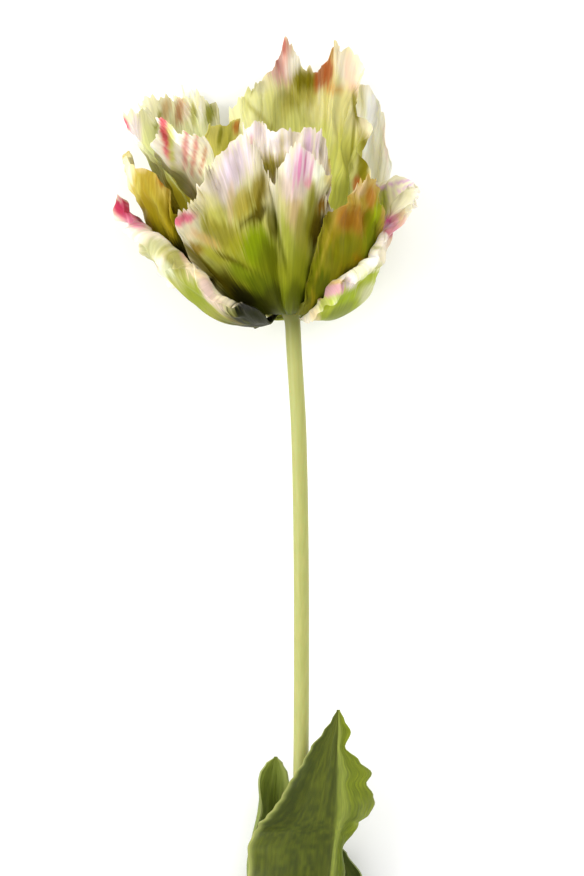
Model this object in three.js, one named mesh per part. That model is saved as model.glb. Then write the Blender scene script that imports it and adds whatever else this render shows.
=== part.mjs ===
// A cut parrot tulip lying on its back petal and its leaves, in millimetres.
// +X is to the right of the bloom as it is looked down on, +Y runs from the cut end towards the bloom
// and +Z is up. The origin is the flat spot under the bloom, where the lowest petal is pressed against
// the surface.
import * as THREE from "three";

// ---- driving dimensions ----
const AXIS_HEIGHT = 49.5; // the bloom's axis above the surface
const REST_ALONG = 64; // from the bloom's base up its axis to the flat spot
const PETAL_THICKNESS = 0.8;
const LEAF_THICKNESS = 0.8;
const STEM_RADIUS = 3;
const STEM_SIDES = 16;
const CUT_END = -355; // where the stem was cut, along the bloom's axis from its base
const SEAT_GAP = 0.35; // between a petal's claw and the receptacle
const RECEPTACLE_RADIUS = 4.7;
const RECEPTACLE_TOP_RADIUS = 3.4;
const RECEPTACLE_HEIGHT = 10.6;
const SEAT_STEP = 1.45; // from one ring of petals up to the next
const FIRST_SEAT = 0.9;

const DEG = Math.PI / 180;
const UP_THE_BLOOM = new THREE.Vector3(0, 1, 0);

const mix = (a, b, t) => a + (b - a) * t;
const smooth = (t) => {
  const x = Math.min(1, Math.max(0, t));
  return x * x * (3 - 2 * x);
};
const bump = (x, centre, width) => Math.exp(-(((x - centre) / width) ** 2));

// A cubic Bezier curve's value at q, which may run a little past its ends.
const bezier = (q, [a, b, c, d]) =>
  (1 - q) ** 3 * a + 3 * q * (1 - q) ** 2 * b + 3 * q * q * (1 - q) * c + q ** 3 * d;

// A smooth curve through a list of rows that all hold the same columns, read at t from 0 to 1 over the
// whole list. Its slope at each row follows the two rows beside it.
const SLOPE_SPAN = 2.4;
function throughRows(rows, t) {
  const f = Math.min(Math.max(t, 0), 1) * (rows.length - 1);
  const i = Math.min(Math.floor(f), rows.length - 2);
  const x = f - i;
  const [a, b, c, d] = [-1, 0, 1, 2].map((k) => rows[Math.min(rows.length - 1, Math.max(0, i + k))]);
  return b.map((_, n) => {
    const [leaving, arriving] = [(c[n] - a[n]) / SLOPE_SPAN, (d[n] - b[n]) / SLOPE_SPAN];
    const ends = mix(b[n], c[n], smooth(x));
    return ends + leaving * x * (1 - x) ** 2 - arriving * x * x * (1 - x);
  });
}

// What a list of [at, value] pairs gives between its entries.
function alongList(list, at) {
  const i = Math.max(1, list.findIndex(([start]) => start >= at));
  const [[a, x], [b, y]] = [list[i - 1], list[i]];
  return mix(x, y, smooth((at - a) / (b - a)));
}

// The same draw each time: a value between 0 and 1 for a whole number.
const draw = (n) => {
  const x = Math.sin(n * 12.9898 + 4.1414) * 43758.5453;
  return x - Math.floor(x);
};

const coneRadius = (height) =>
  mix(RECEPTACLE_RADIUS, RECEPTACLE_TOP_RADIUS, Math.max(0, height) / RECEPTACLE_HEIGHT);

// ---- a closed blade from a grid of points ----
// The grid's points are moved half a thickness both ways along the surface's normal, and a rim joins
// the two faces.
function bladeGeometry(columns, rows, thickness, pointAt, pressed = (p) => p) {
  const step = 1e-3;
  const positions = [];
  const faces = [];
  const normalAt = (i, j) => {
    const [u, v] = [columns[i], rows[j]];
    const alongU = pointAt(Math.min(1, u + step), v).sub(pointAt(Math.max(-1, u - step), v));
    const alongV = pointAt(u, Math.min(1, v + step)).sub(pointAt(u, Math.max(0, v - step)));
    return alongU.cross(alongV).normalize();
  };
  for (const side of [1, -1])
    columns.forEach((u, i) =>
      rows.forEach((v, j) => {
        const p = pointAt(u, v).addScaledVector(normalAt(i, j), (side * thickness) / 2);
        positions.push(...pressed(p, side).toArray());
      }),
    );
  const [nu, nv] = [columns.length, rows.length];
  const at = (face, i, j) => (face * nu + i) * nv + j;
  for (let i = 0; i < nu - 1; i++)
    for (let j = 0; j < nv - 1; j++) {
      faces.push(at(0, i, j), at(0, i + 1, j), at(0, i + 1, j + 1));
      faces.push(at(0, i, j), at(0, i + 1, j + 1), at(0, i, j + 1));
      faces.push(at(1, i, j), at(1, i + 1, j + 1), at(1, i + 1, j));
      faces.push(at(1, i, j), at(1, i, j + 1), at(1, i + 1, j + 1));
    }
  const rim = [];
  for (let i = 0; i < nu - 1; i++) rim.push([i, 0]);
  for (let j = 0; j < nv - 1; j++) rim.push([nu - 1, j]);
  for (let i = nu - 1; i > 0; i--) rim.push([i, nv - 1]);
  for (let j = nv - 1; j > 0; j--) rim.push([0, j]);
  rim.forEach(([i, j], k) => {
    const [m, n] = rim[(k + 1) % rim.length];
    faces.push(at(0, i, j), at(1, i, j), at(1, m, n), at(0, i, j), at(1, m, n), at(0, m, n));
  });
  return new THREE.BufferGeometry()
    .setAttribute("position", new THREE.BufferAttribute(new Float32Array(positions), 3))
    .setIndex(faces);
}

// ---- petals ----
// facing: degrees round the bloom from its upper side towards +X.
// ring: which seat on the receptacle; 0 is the lowest.
// spine: the three other handles of the midrib's Bezier curve, as distance from the axis and height
// above the bloom's base.
// cup: how the petal curves across, left and right of its midrib. 1 follows the bloom's own roundness
// and more is flatter.
// margin: the outline from one side of the claw round the tip to the other, as millimetres from the
// midrib and hundredths of the midrib's length.
// roll: how far the margin turns outwards, from one side round the tip to the other.
// pleats: folds that stand out (+) or in (-). frill: the waves along the margin.
const PETALS = [
  {
    name: "petal_left_outer",
    colour: 0xc3cf86,
    facing: -84,
    ring: 0,
    spine: [[24, -12.5], [44, 2], [66, 45]],
    cup: [0.8, 0.85],
    margin: [
      [-24, 20], [-31, 36], [-33, 54], [-29, 72], [-20, 88], [-9, 98], [0, 105], [8, 102], [16, 101],
      [24, 97], [32, 90], [37, 78], [39, 64], [40, 54], [38, 44], [32, 32],
    ],
    roll: {
      from: 0.84,
      radius: 3.6,
      share: [
        [-1, 0], [-0.9, 0.1], [-0.6, 0.3], [0, 0.3], [0.36, 0.9], [0.52, 0.35], [0.7, 0.6], [0.8, 0.1],
        [1, 0],
      ],
    },
    pleats: [{ at: 0.0, width: 0.2, out: 1.5 }],
    frill: { waves: 5, height: 1.0, turn: 0.4 },
    teeth: 1.0,
    cells: 30,
  },
  {
    name: "petal_right_outer",
    colour: 0xc9d58e,
    facing: 88,
    ring: 0,
    spine: [[17.5, -10.1], [32.5, 4.3], [46, 52]],
    cup: [1.0, 0.9],
    margin: [
      [-19, 14], [-29, 27], [-37, 41], [-42, 54], [-43, 66], [-39, 77], [-31, 85], [-19, 91], [-5, 96],
      [9, 101], [21, 104], [32, 105], [40, 101], [45, 92], [43, 79], [37, 66],
    ],
    roll: {
      from: 0.83,
      radius: 3.6,
      share: [
        [-1, 0], [-0.75, 0.6], [-0.6, 0.6], [-0.45, 0.9], [-0.15, 1.2], [0.02, 0.3], [0.9, 0.1], [1, 0],
      ],
    },
    pleats: [{ at: 0.05, width: 0.2, out: 1.2 }],
    frill: { waves: 5, height: 0.8, turn: 1.1 },
    teeth: 1.0,
    cells: 28,
  },
  {
    name: "petal_under",
    colour: 0xb9c878,
    facing: 168,
    ring: 0,
    spine: [[26, -13], [68, 18], [46, 96]],
    cup: [1.0, 1.0],
    margin: [
      [-37, 83], [-32, 92], [-26, 96], [-19, 100], [-8, 101], [4, 101], [16, 100], [26, 97], [34, 90],
      [36, 78], [33, 64], [30, 50], [26, 37],
    ],
    roll: { from: 0.85, radius: 6, share: [[-1, 0], [-0.6, 0.3], [0.6, 0.3], [1, 0]] },
    pleats: [],
    frill: { waves: 6, height: 0.8, turn: 0.2 },
    teeth: 1.2,
    cells: 32,
  },
  {
    name: "petal_right_front",
    colour: 0xa8a848,
    facing: 46,
    ring: 1,
    spine: [[19, -10.6], [40, 18.5], [37, 52]],
    cup: [1.0, 0.9],
    margin: [
      [-10, 16], [-14, 32], [-17, 50], [-19, 68], [-18, 80], [-14, 88], [-8, 93], [-2, 99], [5, 101],
      [12, 99], [17, 90], [19, 76], [19, 58], [17, 40],
    ],
    roll: { from: 0.86, radius: 4, share: [[-1, 0], [-0.6, 0.2], [0.6, 0.2], [1, 0]] },
    pleats: [],
    frill: { waves: 5, height: 0.8, turn: 2.1 },
    teeth: 1.0,
    cells: 32,
  },
  {
    name: "petal_front",
    colour: 0xb8bf62,
    facing: -8,
    ring: 2,
    spine: [[21, -10.5], [46, 19.5], [40, 68]],
    cup: [3.0, 0.85],
    margin: [
      [-15, 14], [-24, 28], [-30, 44], [-34, 57], [-38, 67], [-42, 76], [-37, 80], [-33, 85],
      [-28, 91], [-24, 95], [-19, 99], [-14, 101], [-9, 97], [-2, 87], [1, 92], [8, 98], [15, 95],
      [23, 91], [31, 86], [33, 72], [31, 54], [24, 36],
    ],
    roll: { from: 0.88, radius: 5, share: [[-1, 0], [-0.6, 0.4], [-0.1, 0.2], [0.3, 0], [1, 0]] },
    pleats: [
      { at: 0.39, width: 0.1, out: 3 },
      { at: 0.8, width: 0.25, out: -7 },
      { at: 0.22, width: 0.06, out: -2 },
    ],
    frill: { waves: 6, height: 0.7, turn: 0.3 },
    teeth: 1.2,
    cells: 44,
  },
  {
    name: "petal_left",
    colour: 0x97903a,
    facing: -92,
    ring: 3,
    spine: [[18, 0], [62, 9], [66, 62]],
    cup: [0.8, 0.5],
    margin: [
      [-20, 28], [-28, 46], [-30, 62], [-27, 78], [-19, 92], [-8, 100], [3, 102], [13, 100], [22, 98],
      [31, 96], [38, 90], [42, 78], [43, 62], [39, 44],
    ],
    roll: { from: 0.88, radius: 4, share: [[-1, 0], [-0.5, 0.4], [0.2, 0.2], [0.6, -0.2], [1, 0]] },
    pleats: [],
    frill: { waves: 5, height: 1.0, turn: 0.9 },
    teeth: 1.2,
    cells: 32,
  },
  {
    name: "petal_back",
    colour: 0xcfd27c,
    facing: 171,
    ring: 6,
    spine: [[11, 13], [42, 28], [29, 105]],
    cup: [1.05, 1.05],
    margin: [
      [-22, 28], [-28, 44], [-33, 60], [-37, 74], [-38, 83], [-34, 88], [-29, 92], [-26, 97],
      [-20, 100.6], [-15, 101.6], [-11, 100.6], [-8, 98], [-2, 97], [3, 100.3], [7, 103.4], [11, 99.6],
      [15, 98], [19, 96], [25, 93], [30, 90], [29, 80], [27, 66], [24, 50], [18, 32],
    ],
    roll: { from: 0.88, radius: 5, share: [[-1, 0], [-0.5, 0.3], [0, 0.1], [0.5, 0.4], [1, 0]] },
    pleats: [],
    frill: { waves: 6, height: 1.1, turn: 0.0 },
    teeth: 1.0,
    cells: 44,
  },
  {
    name: "petal_front_inner",
    colour: 0xe9dfd2,
    facing: 0,
    ring: 4,
    spine: [[14, 3], [30, 28], [32, 74]],
    cup: [1.3, 1.1],
    margin: [
      [-22, 96], [-17, 100], [-11, 100], [-8, 98], [-4, 99], [1, 98], [6, 99], [10, 98], [14, 98],
      [17, 93], [17, 80],
    ],
    roll: { from: 0.9, radius: 6, share: [[-1, 0], [0, 0.2], [1, 0]] },
    pleats: [],
    frill: { waves: 5, height: 0.8, turn: 0.7 },
    teeth: 1.2,
    cells: 22,
  },
  {
    name: "petal_left_back",
    colour: 0xd6d88f,
    facing: -105,
    ring: 4,
    spine: [[16, 4], [44, 18], [65, 90]],
    cup: [0.65, 0.9],
    margin: [
      [-57, 97], [-47, 100], [-36, 101], [-25, 99], [-13, 99], [-3, 97], [5, 96], [13, 94], [18, 86],
    ],
    roll: { from: 0.9, radius: 5, share: [[-1, 0], [-0.5, 0.4], [0, 0.1], [0.5, 0.3], [1, 0]] },
    pleats: [{ at: 0.1, width: 0.05, out: 1.5 }, { at: -0.1, width: 0.05, out: 1.5 }],
    frill: { waves: 4, height: 1.3, turn: 0.5 },
    teeth: 1.2,
    cells: 26,
  },
  {
    name: "petal_left_inner",
    colour: 0xddc9a6,
    facing: -58,
    ring: 5,
    spine: [[12, 5], [26, 38], [56, 74]],
    cup: [2.2, 1.0],
    margin: [
      [-36, 87], [-33, 92], [-18, 97], [-8, 102], [1, 104], [3, 99], [7, 98], [9, 95], [11, 91],
    ],
    roll: { from: 0.86, radius: 6, share: [[-1, 0], [-0.5, 0.1], [0.5, 0.15], [1, 0]] },
    pleats: [],
    frill: { waves: 3, height: 0.6, turn: 0.1 },
    teeth: 1.0,
    cells: 22,
  },
  {
    name: "petal_left_middle",
    colour: 0xc9c86a,
    facing: -130,
    ring: 5,
    spine: [[14, 8], [38, 26], [38, 78]],
    cup: [1.2, 1.2],
    margin: [
      [-11, 101], [-4, 100], [3, 99], [9, 99],
    ],
    roll: { from: 0.86, radius: 6, share: [[-1, 0], [-0.5, 0.2], [0.5, 0.2], [1, 0]] },
    pleats: [],
    frill: { waves: 2, height: 0.5, turn: 0.1 },
    teeth: 0.8,
    cells: 8,
  },
];
const CLAW_HALF_WIDTH = 2.4;
const WIDEST_TURN = 1.45; // a petal never reaches further round the bloom than this, in radians
const PETAL_ROWS = [0, 0.2, 0.42, 0.62, 0.78, 0.9, 1];

// A point on the petal's sheet: side is in millimetres from the midrib, q runs along it, and out lifts
// the point off the sheet.
function onPetal(petal, side, q, out = 0) {
  const seatHeight = FIRST_SEAT + SEAT_STEP * petal.ring;
  const seatRadius = coneRadius(seatHeight) + SEAT_GAP;
  const handles = [[seatRadius, seatHeight], ...petal.spine];
  const [rs, hs] = [handles.map((p) => p[0]), handles.map((p) => p[1])];
  const [r, h] = [bezier(q, rs), bezier(q, hs)];
  const [dr, dh] = [bezier(q + 0.01, rs) - r, bezier(q + 0.01, hs) - h];
  const length = Math.hypot(dr, dh);
  const pivot = r * mix(1, petal.cup[side < 0 ? 0 : 1], smooth(q / 0.5));
  const facing = petal.facing * DEG;
  const turn = facing + WIDEST_TURN * Math.tanh(side / pivot / WIDEST_TURN);
  const outwards = new THREE.Vector3(Math.sin(turn), 0, Math.cos(turn));
  return new THREE.Vector3(Math.sin(facing), 0, Math.cos(facing))
    .multiplyScalar(r - pivot)
    .addScaledVector(outwards, pivot + (out * dh) / length)
    .addScaledVector(UP_THE_BLOOM, h - (out * dr) / length);
}

// A point of a petal's middle surface in the bloom's frame: u picks a vein and v runs along it from the
// claw to the margin.
function petalPoint(petal, u, v) {
  const [across, along] = throughRows(petal.margin, (u + 1) / 2);
  const reach = Math.hypot(across, along * 0.75);
  const tooth = (petal.teeth * toothAt(petal, u) * smooth((v - 0.78) / 0.22)) / reach;

  // Past the roll line the margin turns outwards round a small radius.
  const { from, radius } = petal.roll;
  const share = alongList(petal.roll.share, u);
  const past = Math.max(0, v - from) * reach;
  const turned = Math.max(1e-6, (past / radius) * Math.abs(share));
  const w = v > from ? from + ((v - from) * Math.sin(turned)) / turned : v;
  let out = Math.sign(share) * past * ((1 - Math.cos(turned)) / turned);

  const side = CLAW_HALF_WIDTH * u * (1 - w) + across * w ** 1.25 * (1 + tooth);
  const q = (along / 100) * w ** 0.95 * (1 + tooth);
  const open = smooth(v / 0.6) * smooth(q / 0.4);
  for (const pleat of petal.pleats) out += pleat.out * bump(u, pleat.at, pleat.width) * open;
  const wave = Math.sin(2 * Math.PI * (petal.frill.waves * u + petal.frill.turn));
  out += petal.frill.height * wave * smooth((v - 0.45) / 0.55) * smooth((q - 0.05) / 0.3);
  return onPetal(petal, side, q, out);
}

// The feathered margin: every other vein ends in a tooth, no two alike.
function toothAt(petal, u) {
  const i = Math.round(((u + 1) / 2) * petal.cells);
  return i % 2 ? 0.6 + 0.8 * draw(i + petal.facing) : -0.5 * draw(i - petal.facing);
}

function petalMesh(petal) {
  const columns = Array.from({ length: petal.cells + 1 }, (_, i) => -1 + (2 * i) / petal.cells);
  const point = (u, v) => petalPoint(petal, u, v);
  const blade = bladeGeometry(columns, PETAL_ROWS, PETAL_THICKNESS, point, pressedFlat);
  return namedMesh(petal.name, blade, petal.colour, 0.6);
}

// Nothing reaches below the surface that the tulip lies on: a face that would is pressed flat against it.
function pressedFlat(point, side, thickness = PETAL_THICKNESS) {
  const lowest = -AXIS_HEIGHT + (side < 0 ? thickness : 0);
  point.z = Math.max(point.z, lowest);
  return point;
}

function namedMesh(name, geometry, colour, roughness) {
  const material = new THREE.MeshStandardMaterial({ color: colour, roughness, metalness: 0 });
  const mesh = new THREE.Mesh(geometry, material);
  mesh.name = name;
  return mesh;
}

// ---- round bars: the stem, the pistil and the stamens ----
// A closed bar along a list of centres. The radius may change along it and round it.
function barGeometry(centres, radiusAt, sides) {
  const positions = [];
  const faces = [];
  const last = centres.length - 1;
  centres.forEach((centre, i) => {
    const along = centres[Math.min(last, i + 1)].clone().sub(centres[Math.max(0, i - 1)]).normalize();
    const across = new THREE.Vector3(1, 0, 0).addScaledVector(along, -along.x).normalize();
    const up = along.clone().cross(across);
    for (let k = 0; k < sides; k++) {
      const angle = (k / sides) * 2 * Math.PI;
      const radius = radiusAt(i / last, angle);
      const spoke = across.clone().multiplyScalar(Math.cos(angle)).addScaledVector(up, Math.sin(angle));
      positions.push(...centre.clone().addScaledVector(spoke, radius).toArray());
    }
  });
  const at = (i, k) => i * sides + (k % sides);
  for (let i = 0; i < last; i++)
    for (let k = 0; k < sides; k++) {
      faces.push(at(i, k), at(i, k + 1), at(i + 1, k + 1));
      faces.push(at(i, k), at(i + 1, k + 1), at(i + 1, k));
    }
  positions.push(...centres[0].toArray(), ...centres[last].toArray());
  const [first, end] = [centres.length * sides, centres.length * sides + 1];
  for (let k = 0; k < sides; k++) {
    faces.push(first, at(0, k + 1), at(0, k));
    faces.push(end, at(last, k), at(last, k + 1));
  }
  return new THREE.BufferGeometry()
    .setAttribute("position", new THREE.BufferAttribute(new Float32Array(positions), 3))
    .setIndex(faces);
}

// The stem's centre line in the bloom's frame: along the axis, to the side, and above or below it.
const STEM_LINE = [
  [0, 0.2, 0],
  [-50, 2.8, -1],
  [-100, 3.7, -6],
  [-150, 3.8, -13.5],
  [-200, 3.5, -22],
  [-250, 3.1, -30.5],
  [-300, 2.8, -38.5],
  [-350, 2.6, -45.6],
];
const LINE_END = STEM_LINE.at(-1)[0];
const onStem = (along) => {
  const [, side, up] = throughRows(STEM_LINE, along / LINE_END);
  return new THREE.Vector3(side, along, up);
};

// Below the bloom the bar follows the stem's line, and above it stands on the axis as the receptacle.
const stemHeights = [];
for (let along = CUT_END; along < -20; along += 15) stemHeights.push(along);
stemHeights.push(-16, -9, -4, 0, 3.5, 7, RECEPTACLE_HEIGHT);
const STEM_DROOP = 0.12; // how steeply the last of the stem still falls
const stemCentres = stemHeights.map((along) => {
  if (along > 0) return new THREE.Vector3(0, along, 0);
  const past = Math.min(0, along - LINE_END);
  const centre = onStem(along - past).add(new THREE.Vector3(0, past, past * STEM_DROOP));
  centre.x *= smooth(-along / 6);
  return centre;
});
const stemRadius = (t) => {
  const along = stemHeights[Math.round(t * (stemHeights.length - 1))];
  if (along >= 0) return coneRadius(along);
  return mix(STEM_RADIUS, RECEPTACLE_RADIUS, bump(along, 0, 4)) + 0.25 * smooth((-along - 280) / 60);
};

// ---- leaves ----
// path: along the axis, the keel's offset from the stem to the side and up, the way it faces in degrees
// round the stem, and the radius of the gutter before and after the keel.
// edge: along the axis, then the half-widths before and after the keel.
// curl: along the axis, then how far the first margin lifts.
// waves: how many waves the margins have and their height.
const LEAVES = [
  {
    name: "leaf_front",
    colour: 0x5f7a28,
    rows: 38,
    path: [
      [-306, 1.05, 3.95, 15, 4.1, 4.1],
      [-292, 2.2, 5.6, 20, 6, 5.5],
      [-270, 6, 8.5, 24, 12, 7],
      [-248, 9.5, 11, 26, 24, 7],
      [-225, 12.2, 12.5, 22, 38, 8],
      [-210, 13.6, 11.8, 18, 40, 13],
      [-203, 14, 11.4, 16, 40, 20],
      [-182, 14.4, 10, 10, 36, 24],
      [-159, 14.8, 9, 6, 30, 22],
    ],
    edge: [
      [-306, 5.6, 5.6], [-290, 10, 8], [-270, 19, 11], [-245, 29, 11], [-225, 35, 7], [-215, 35, 6],
      [-209, 32.5, 8], [-205, 29.5, 12], [-202, 26, 19.5], [-198, 23, 20.5], [-194, 20.5, 17],
      [-189, 18.5, 12.6], [-185, 16.5, 16.4], [-180, 13.5, 10], [-174, 10.5, 3.2], [-168, 6, 5.4],
      [-163, 2.6, 2.6], [-159, 0.4, 0.4],
    ],
    curl: [[-306, 0], [-215, 0], [-203, 5], [-192, 6], [-180, 1], [-159, 0]],
    waves: [6, 1.2],
  },
  {
    name: "leaf_left",
    colour: 0x536b24,
    rows: 22,
    path: [
      [-319, -2.3, -3.35, 215, 4.1, 4.1],
      [-305, -3.7, -4.9, 213, 6, 6],
      [-284, -7, -9, 204, 9, 9],
      [-256, -13, -17.4, 198, 13, 13],
      [-228, -14.3, -17.6, 192, 9, 9],
      [-203, -11.5, -14, 187, 7, 7],
      [-179, -10.2, -10, 182, 6, 6],
    ],
    edge: [
      [-319, 5.6, 5.6], [-300, 8, 9], [-280, 10, 14], [-255, 12, 18], [-228, 10, 18], [-203, 7.5, 14.2],
      [-190, 7, 10.4], [-186, 6, 7.6], [-182, 3.2, 4.2], [-179, 0.4, 0.4],
    ],
    curl: [[-319, 0], [-179, 0]],
    waves: [4, 0.6],
  },
  {
    name: "leaf_right",
    colour: 0x4c6322,
    rows: 20,
    path: [
      [-334, 2, -3.5, 150, 4.1, 4.1],
      [-318, 4.6, -6.2, 148, 7.5, 7.5],
      [-298, 9.5, -9.7, 152, 12, 12],
      [-268, 17, -14.6, 160, 22, 20],
      [-240, 18.8, -17.6, 164, 24, 22],
      [-214, 13.5, -16.8, 168, 20, 20],
    ],
    edge: [
      [-334, 5.6, 5.6], [-318, 8, 8], [-298, 13, 11], [-270, 17, 14], [-240, 13.5, 11.5],
      [-228, 9, 8.5], [-219, 4.6, 5], [-214, 0.4, 0.4],
    ],
    curl: [[-334, 0], [-214, 0]],
    waves: [4, 0.9],
  },
];
const LEAF_COLUMNS = [-1, -0.85, -0.6, -0.3, 0, 0.3, 0.6, 0.85, 1];

// A point of a leaf's middle surface in the bloom's frame: u runs across from -1 to 1 and v from the
// clasp to the tip.
function leafPoint(leaf, u, v) {
  const [along, side, up, face, before, after] = throughRows(leaf.path, v);
  const width = alongList(leaf.edge.map(([at, ...halves]) => [at, halves[u < 0 ? 0 : 1]]), along);
  const radius = u < 0 ? before : after;
  const facing = face * DEG;
  const turn = facing + (u * width) / radius;
  const [waves, height] = leaf.waves;
  const lift = alongList(leaf.curl, along) * smooth((-u - 0.55) / 0.45);
  const loose = smooth((Math.abs(u) - 0.4) / 0.6) * smooth(v / 0.3) * smooth((1 - v) / 0.15);
  const out = lift + loose * height * Math.sin(2 * Math.PI * waves * v + 2 * u);
  return onStem(along).add(
    new THREE.Vector3(
      side + radius * (Math.sin(turn) - Math.sin(facing)) + out * Math.sin(turn),
      0,
      up + radius * (Math.cos(turn) - Math.cos(facing)) + out * Math.cos(turn),
    ),
  );
}

function leafMesh(leaf) {
  const rows = Array.from({ length: leaf.rows + 1 }, (_, j) => j / leaf.rows);
  const point = (u, v) => leafPoint(leaf, u, v);
  const blade = bladeGeometry(LEAF_COLUMNS, rows, LEAF_THICKNESS, point, pressedFlat);
  return namedMesh(leaf.name, blade, leaf.colour, 0.45);
}

// ---- the pistil and the stamens, on top of the receptacle ----
const OVARY = { from: RECEPTACLE_HEIGHT + 0.3, to: 28, radius: 2.5 };
const STAMENS = 6;
const onAxis = (height) => new THREE.Vector3(0, height, 0);
const threeLobed = (angle, depth) => 1 + depth * Math.cos(3 * angle);

const ovary = barGeometry(
  [0, 0.2, 0.5, 0.8, 1].map((t) => onAxis(mix(OVARY.from, OVARY.to, t))),
  (t, angle) => (OVARY.radius * (0.72 + 0.28 * Math.sin(Math.PI * t)) - 0.1) * threeLobed(angle, 0.09),
  12,
);
const stigma = barGeometry(
  [0.3, 1.2, 2.4, 3.4].map((rise) => onAxis(OVARY.to + rise)),
  (t, angle) => [2.2, 3.6, 3.9, 1.8][Math.round(t * 3)] * threeLobed(angle, 0.35),
  18,
);
// A stamen stands at an angle round the axis: its filament leans outwards from the receptacle and
// carries the anther.
const stamenPoint = (angle, radius, height) =>
  new THREE.Vector3(radius * Math.sin(angle), height, radius * Math.cos(angle));
const filament = (angle) =>
  barGeometry(
    [[2.75, RECEPTACLE_HEIGHT + 0.3], [4.2, 15], [6, 20.5]].map(([r, h]) => stamenPoint(angle, r, h)),
    (t) => mix(0.55, 0.4, t),
    6,
  );
const anther = (angle) =>
  barGeometry(
    [[6.15, 20.9], [6.9, 23.5], [7.8, 27], [8.5, 30.5], [8.9, 33]].map(([r, h]) => stamenPoint(angle, r, h)),
    (t) => 0.5 + 0.85 * Math.sin(Math.PI * Math.min(1, Math.max(0, t * 0.9 + 0.05))),
    8,
  );

const bloom = new THREE.Group();
PETALS.forEach((petal) => bloom.add(petalMesh(petal)));
LEAVES.forEach((leaf) => bloom.add(leafMesh(leaf)));
bloom.add(namedMesh("stem", barGeometry(stemCentres, stemRadius, STEM_SIDES), 0xc0c772, 0.5));
bloom.add(namedMesh("ovary", ovary, 0xb7c47a, 0.5), namedMesh("stigma", stigma, 0xe8dfa8, 0.7));
for (let i = 0; i < STAMENS; i++) {
  const angle = ((i + 0.5) / STAMENS) * 2 * Math.PI;
  bloom.add(namedMesh(`filament_${i + 1}`, filament(angle), 0xcfd29a, 0.5));
  bloom.add(namedMesh(`anther_${i + 1}`, anther(angle), 0x3a2a33, 0.8));
}
bloom.position.set(0, -REST_ALONG, AXIS_HEIGHT);

const tulip = new THREE.Group();
tulip.add(bloom);
export default tulip;
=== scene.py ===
# %% [markdown]
# # A cut parrot tulip
# A parrot tulip is a tulip whose petals have torn, feathered margins and wavy, twisted blades streaked
# in green, cream and pink. This one is cut and lies down, so it is looked at from straight above. The
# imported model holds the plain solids. Every one of them is rebuilt here as a finer piece that keeps its
# form and adds what a plain solid lacks: small teeth, ruffles, veins and the streaked colours.

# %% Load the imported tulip
import math
import bpy
import numpy as np
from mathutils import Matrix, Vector


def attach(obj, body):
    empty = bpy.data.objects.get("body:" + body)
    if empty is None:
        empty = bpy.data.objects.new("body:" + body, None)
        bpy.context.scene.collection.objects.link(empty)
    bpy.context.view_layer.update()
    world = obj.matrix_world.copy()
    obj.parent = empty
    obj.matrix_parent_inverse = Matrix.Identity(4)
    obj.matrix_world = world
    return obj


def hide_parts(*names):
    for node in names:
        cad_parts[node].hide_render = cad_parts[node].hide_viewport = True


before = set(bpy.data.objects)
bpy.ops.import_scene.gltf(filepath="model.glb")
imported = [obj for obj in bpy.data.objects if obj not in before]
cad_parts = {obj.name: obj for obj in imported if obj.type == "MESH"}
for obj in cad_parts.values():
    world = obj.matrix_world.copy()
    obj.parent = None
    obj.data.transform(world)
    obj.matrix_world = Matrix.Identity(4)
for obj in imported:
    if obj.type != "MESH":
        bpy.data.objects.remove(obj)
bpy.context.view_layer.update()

MM = 0.001

# %% [markdown]
# ## Curves and chance
# A petal is a sheet whose shape is easier to write down than to push into place by hand: veins fan out
# from a narrow claw to a drawn margin that rolls outwards in waves. So the sheets start as Blender's grid
# and its points are moved by formulas, which all use these curves and this smooth chance. All lengths
# are in millimetres until a piece is finished.

# %% Curves and smooth steps
AXIS_HEIGHT = 49.5  # the bloom's axis above the surface
REST_ALONG = 64.0  # from the bloom's base up its axis to the flat spot that it rests on
SLOPE_SPAN = 2.4  # a curve's slope at a row is its neighbours' difference divided by this


def mix(a, b, t):
    return a + (b - a) * t


def smooth(t):
    x = np.clip(t, 0, 1)
    return x * x * (3 - 2 * x)


def rise(x, start, span):
    """0 up to the start, and then smoothly up to 1 over the span."""
    return smooth((x - start) / span)


def bump(x, centre, width):
    return np.exp(-(((x - centre) / width) ** 2))


def bezier(q, handles):
    a, b, c, d = handles
    return (1 - q) ** 3 * a + 3 * q * (1 - q) ** 2 * b + 3 * q * q * (1 - q) * c + q**3 * d


def through_rows(rows, t):
    """A smooth curve through a list of rows, read at t from 0 to 1 over the whole list."""
    rows = np.asarray(rows, float)
    f = np.clip(t, 0, 1) * (len(rows) - 1)
    i = np.minimum(f.astype(int), len(rows) - 2)
    x = (f - i)[:, None]
    a, b, c, d = (rows[np.clip(i + k, 0, len(rows) - 1)] for k in (-1, 0, 1, 2))
    leaving, arriving = (c - a) / SLOPE_SPAN, (d - b) / SLOPE_SPAN
    return (mix(b, c, smooth(x)) + leaving * x * (1 - x) ** 2 - arriving * x * x * (1 - x)).T


def along_list(pairs, at):
    """What a list of (at, value) pairs gives between its entries."""
    ats, values = np.array(pairs, float).T
    i = np.clip(np.searchsorted(ats, at), 1, len(ats) - 1)
    return mix(values[i - 1], values[i], smooth((at - ats[i - 1]) / (ats[i] - ats[i - 1])))


print("a smooth step at a quarter and three quarters:", float(smooth(0.25)), float(smooth(0.75)))

# %% Repeatable chance


def draw(n):
    """The same draw each time: a value between 0 and 1 for a whole number."""
    x = np.sin(n * 12.9898 + 4.1414) * 43758.5453
    return x - np.floor(x)


def wander(x, seed=0.0):
    """Smooth chance along a line, between -1 and 1, with about one change per unit."""
    i = np.floor(x)
    return 2 * mix(draw(i + seed * 71.0), draw(i + 1 + seed * 71.0), smooth(x - i)) - 1


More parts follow.
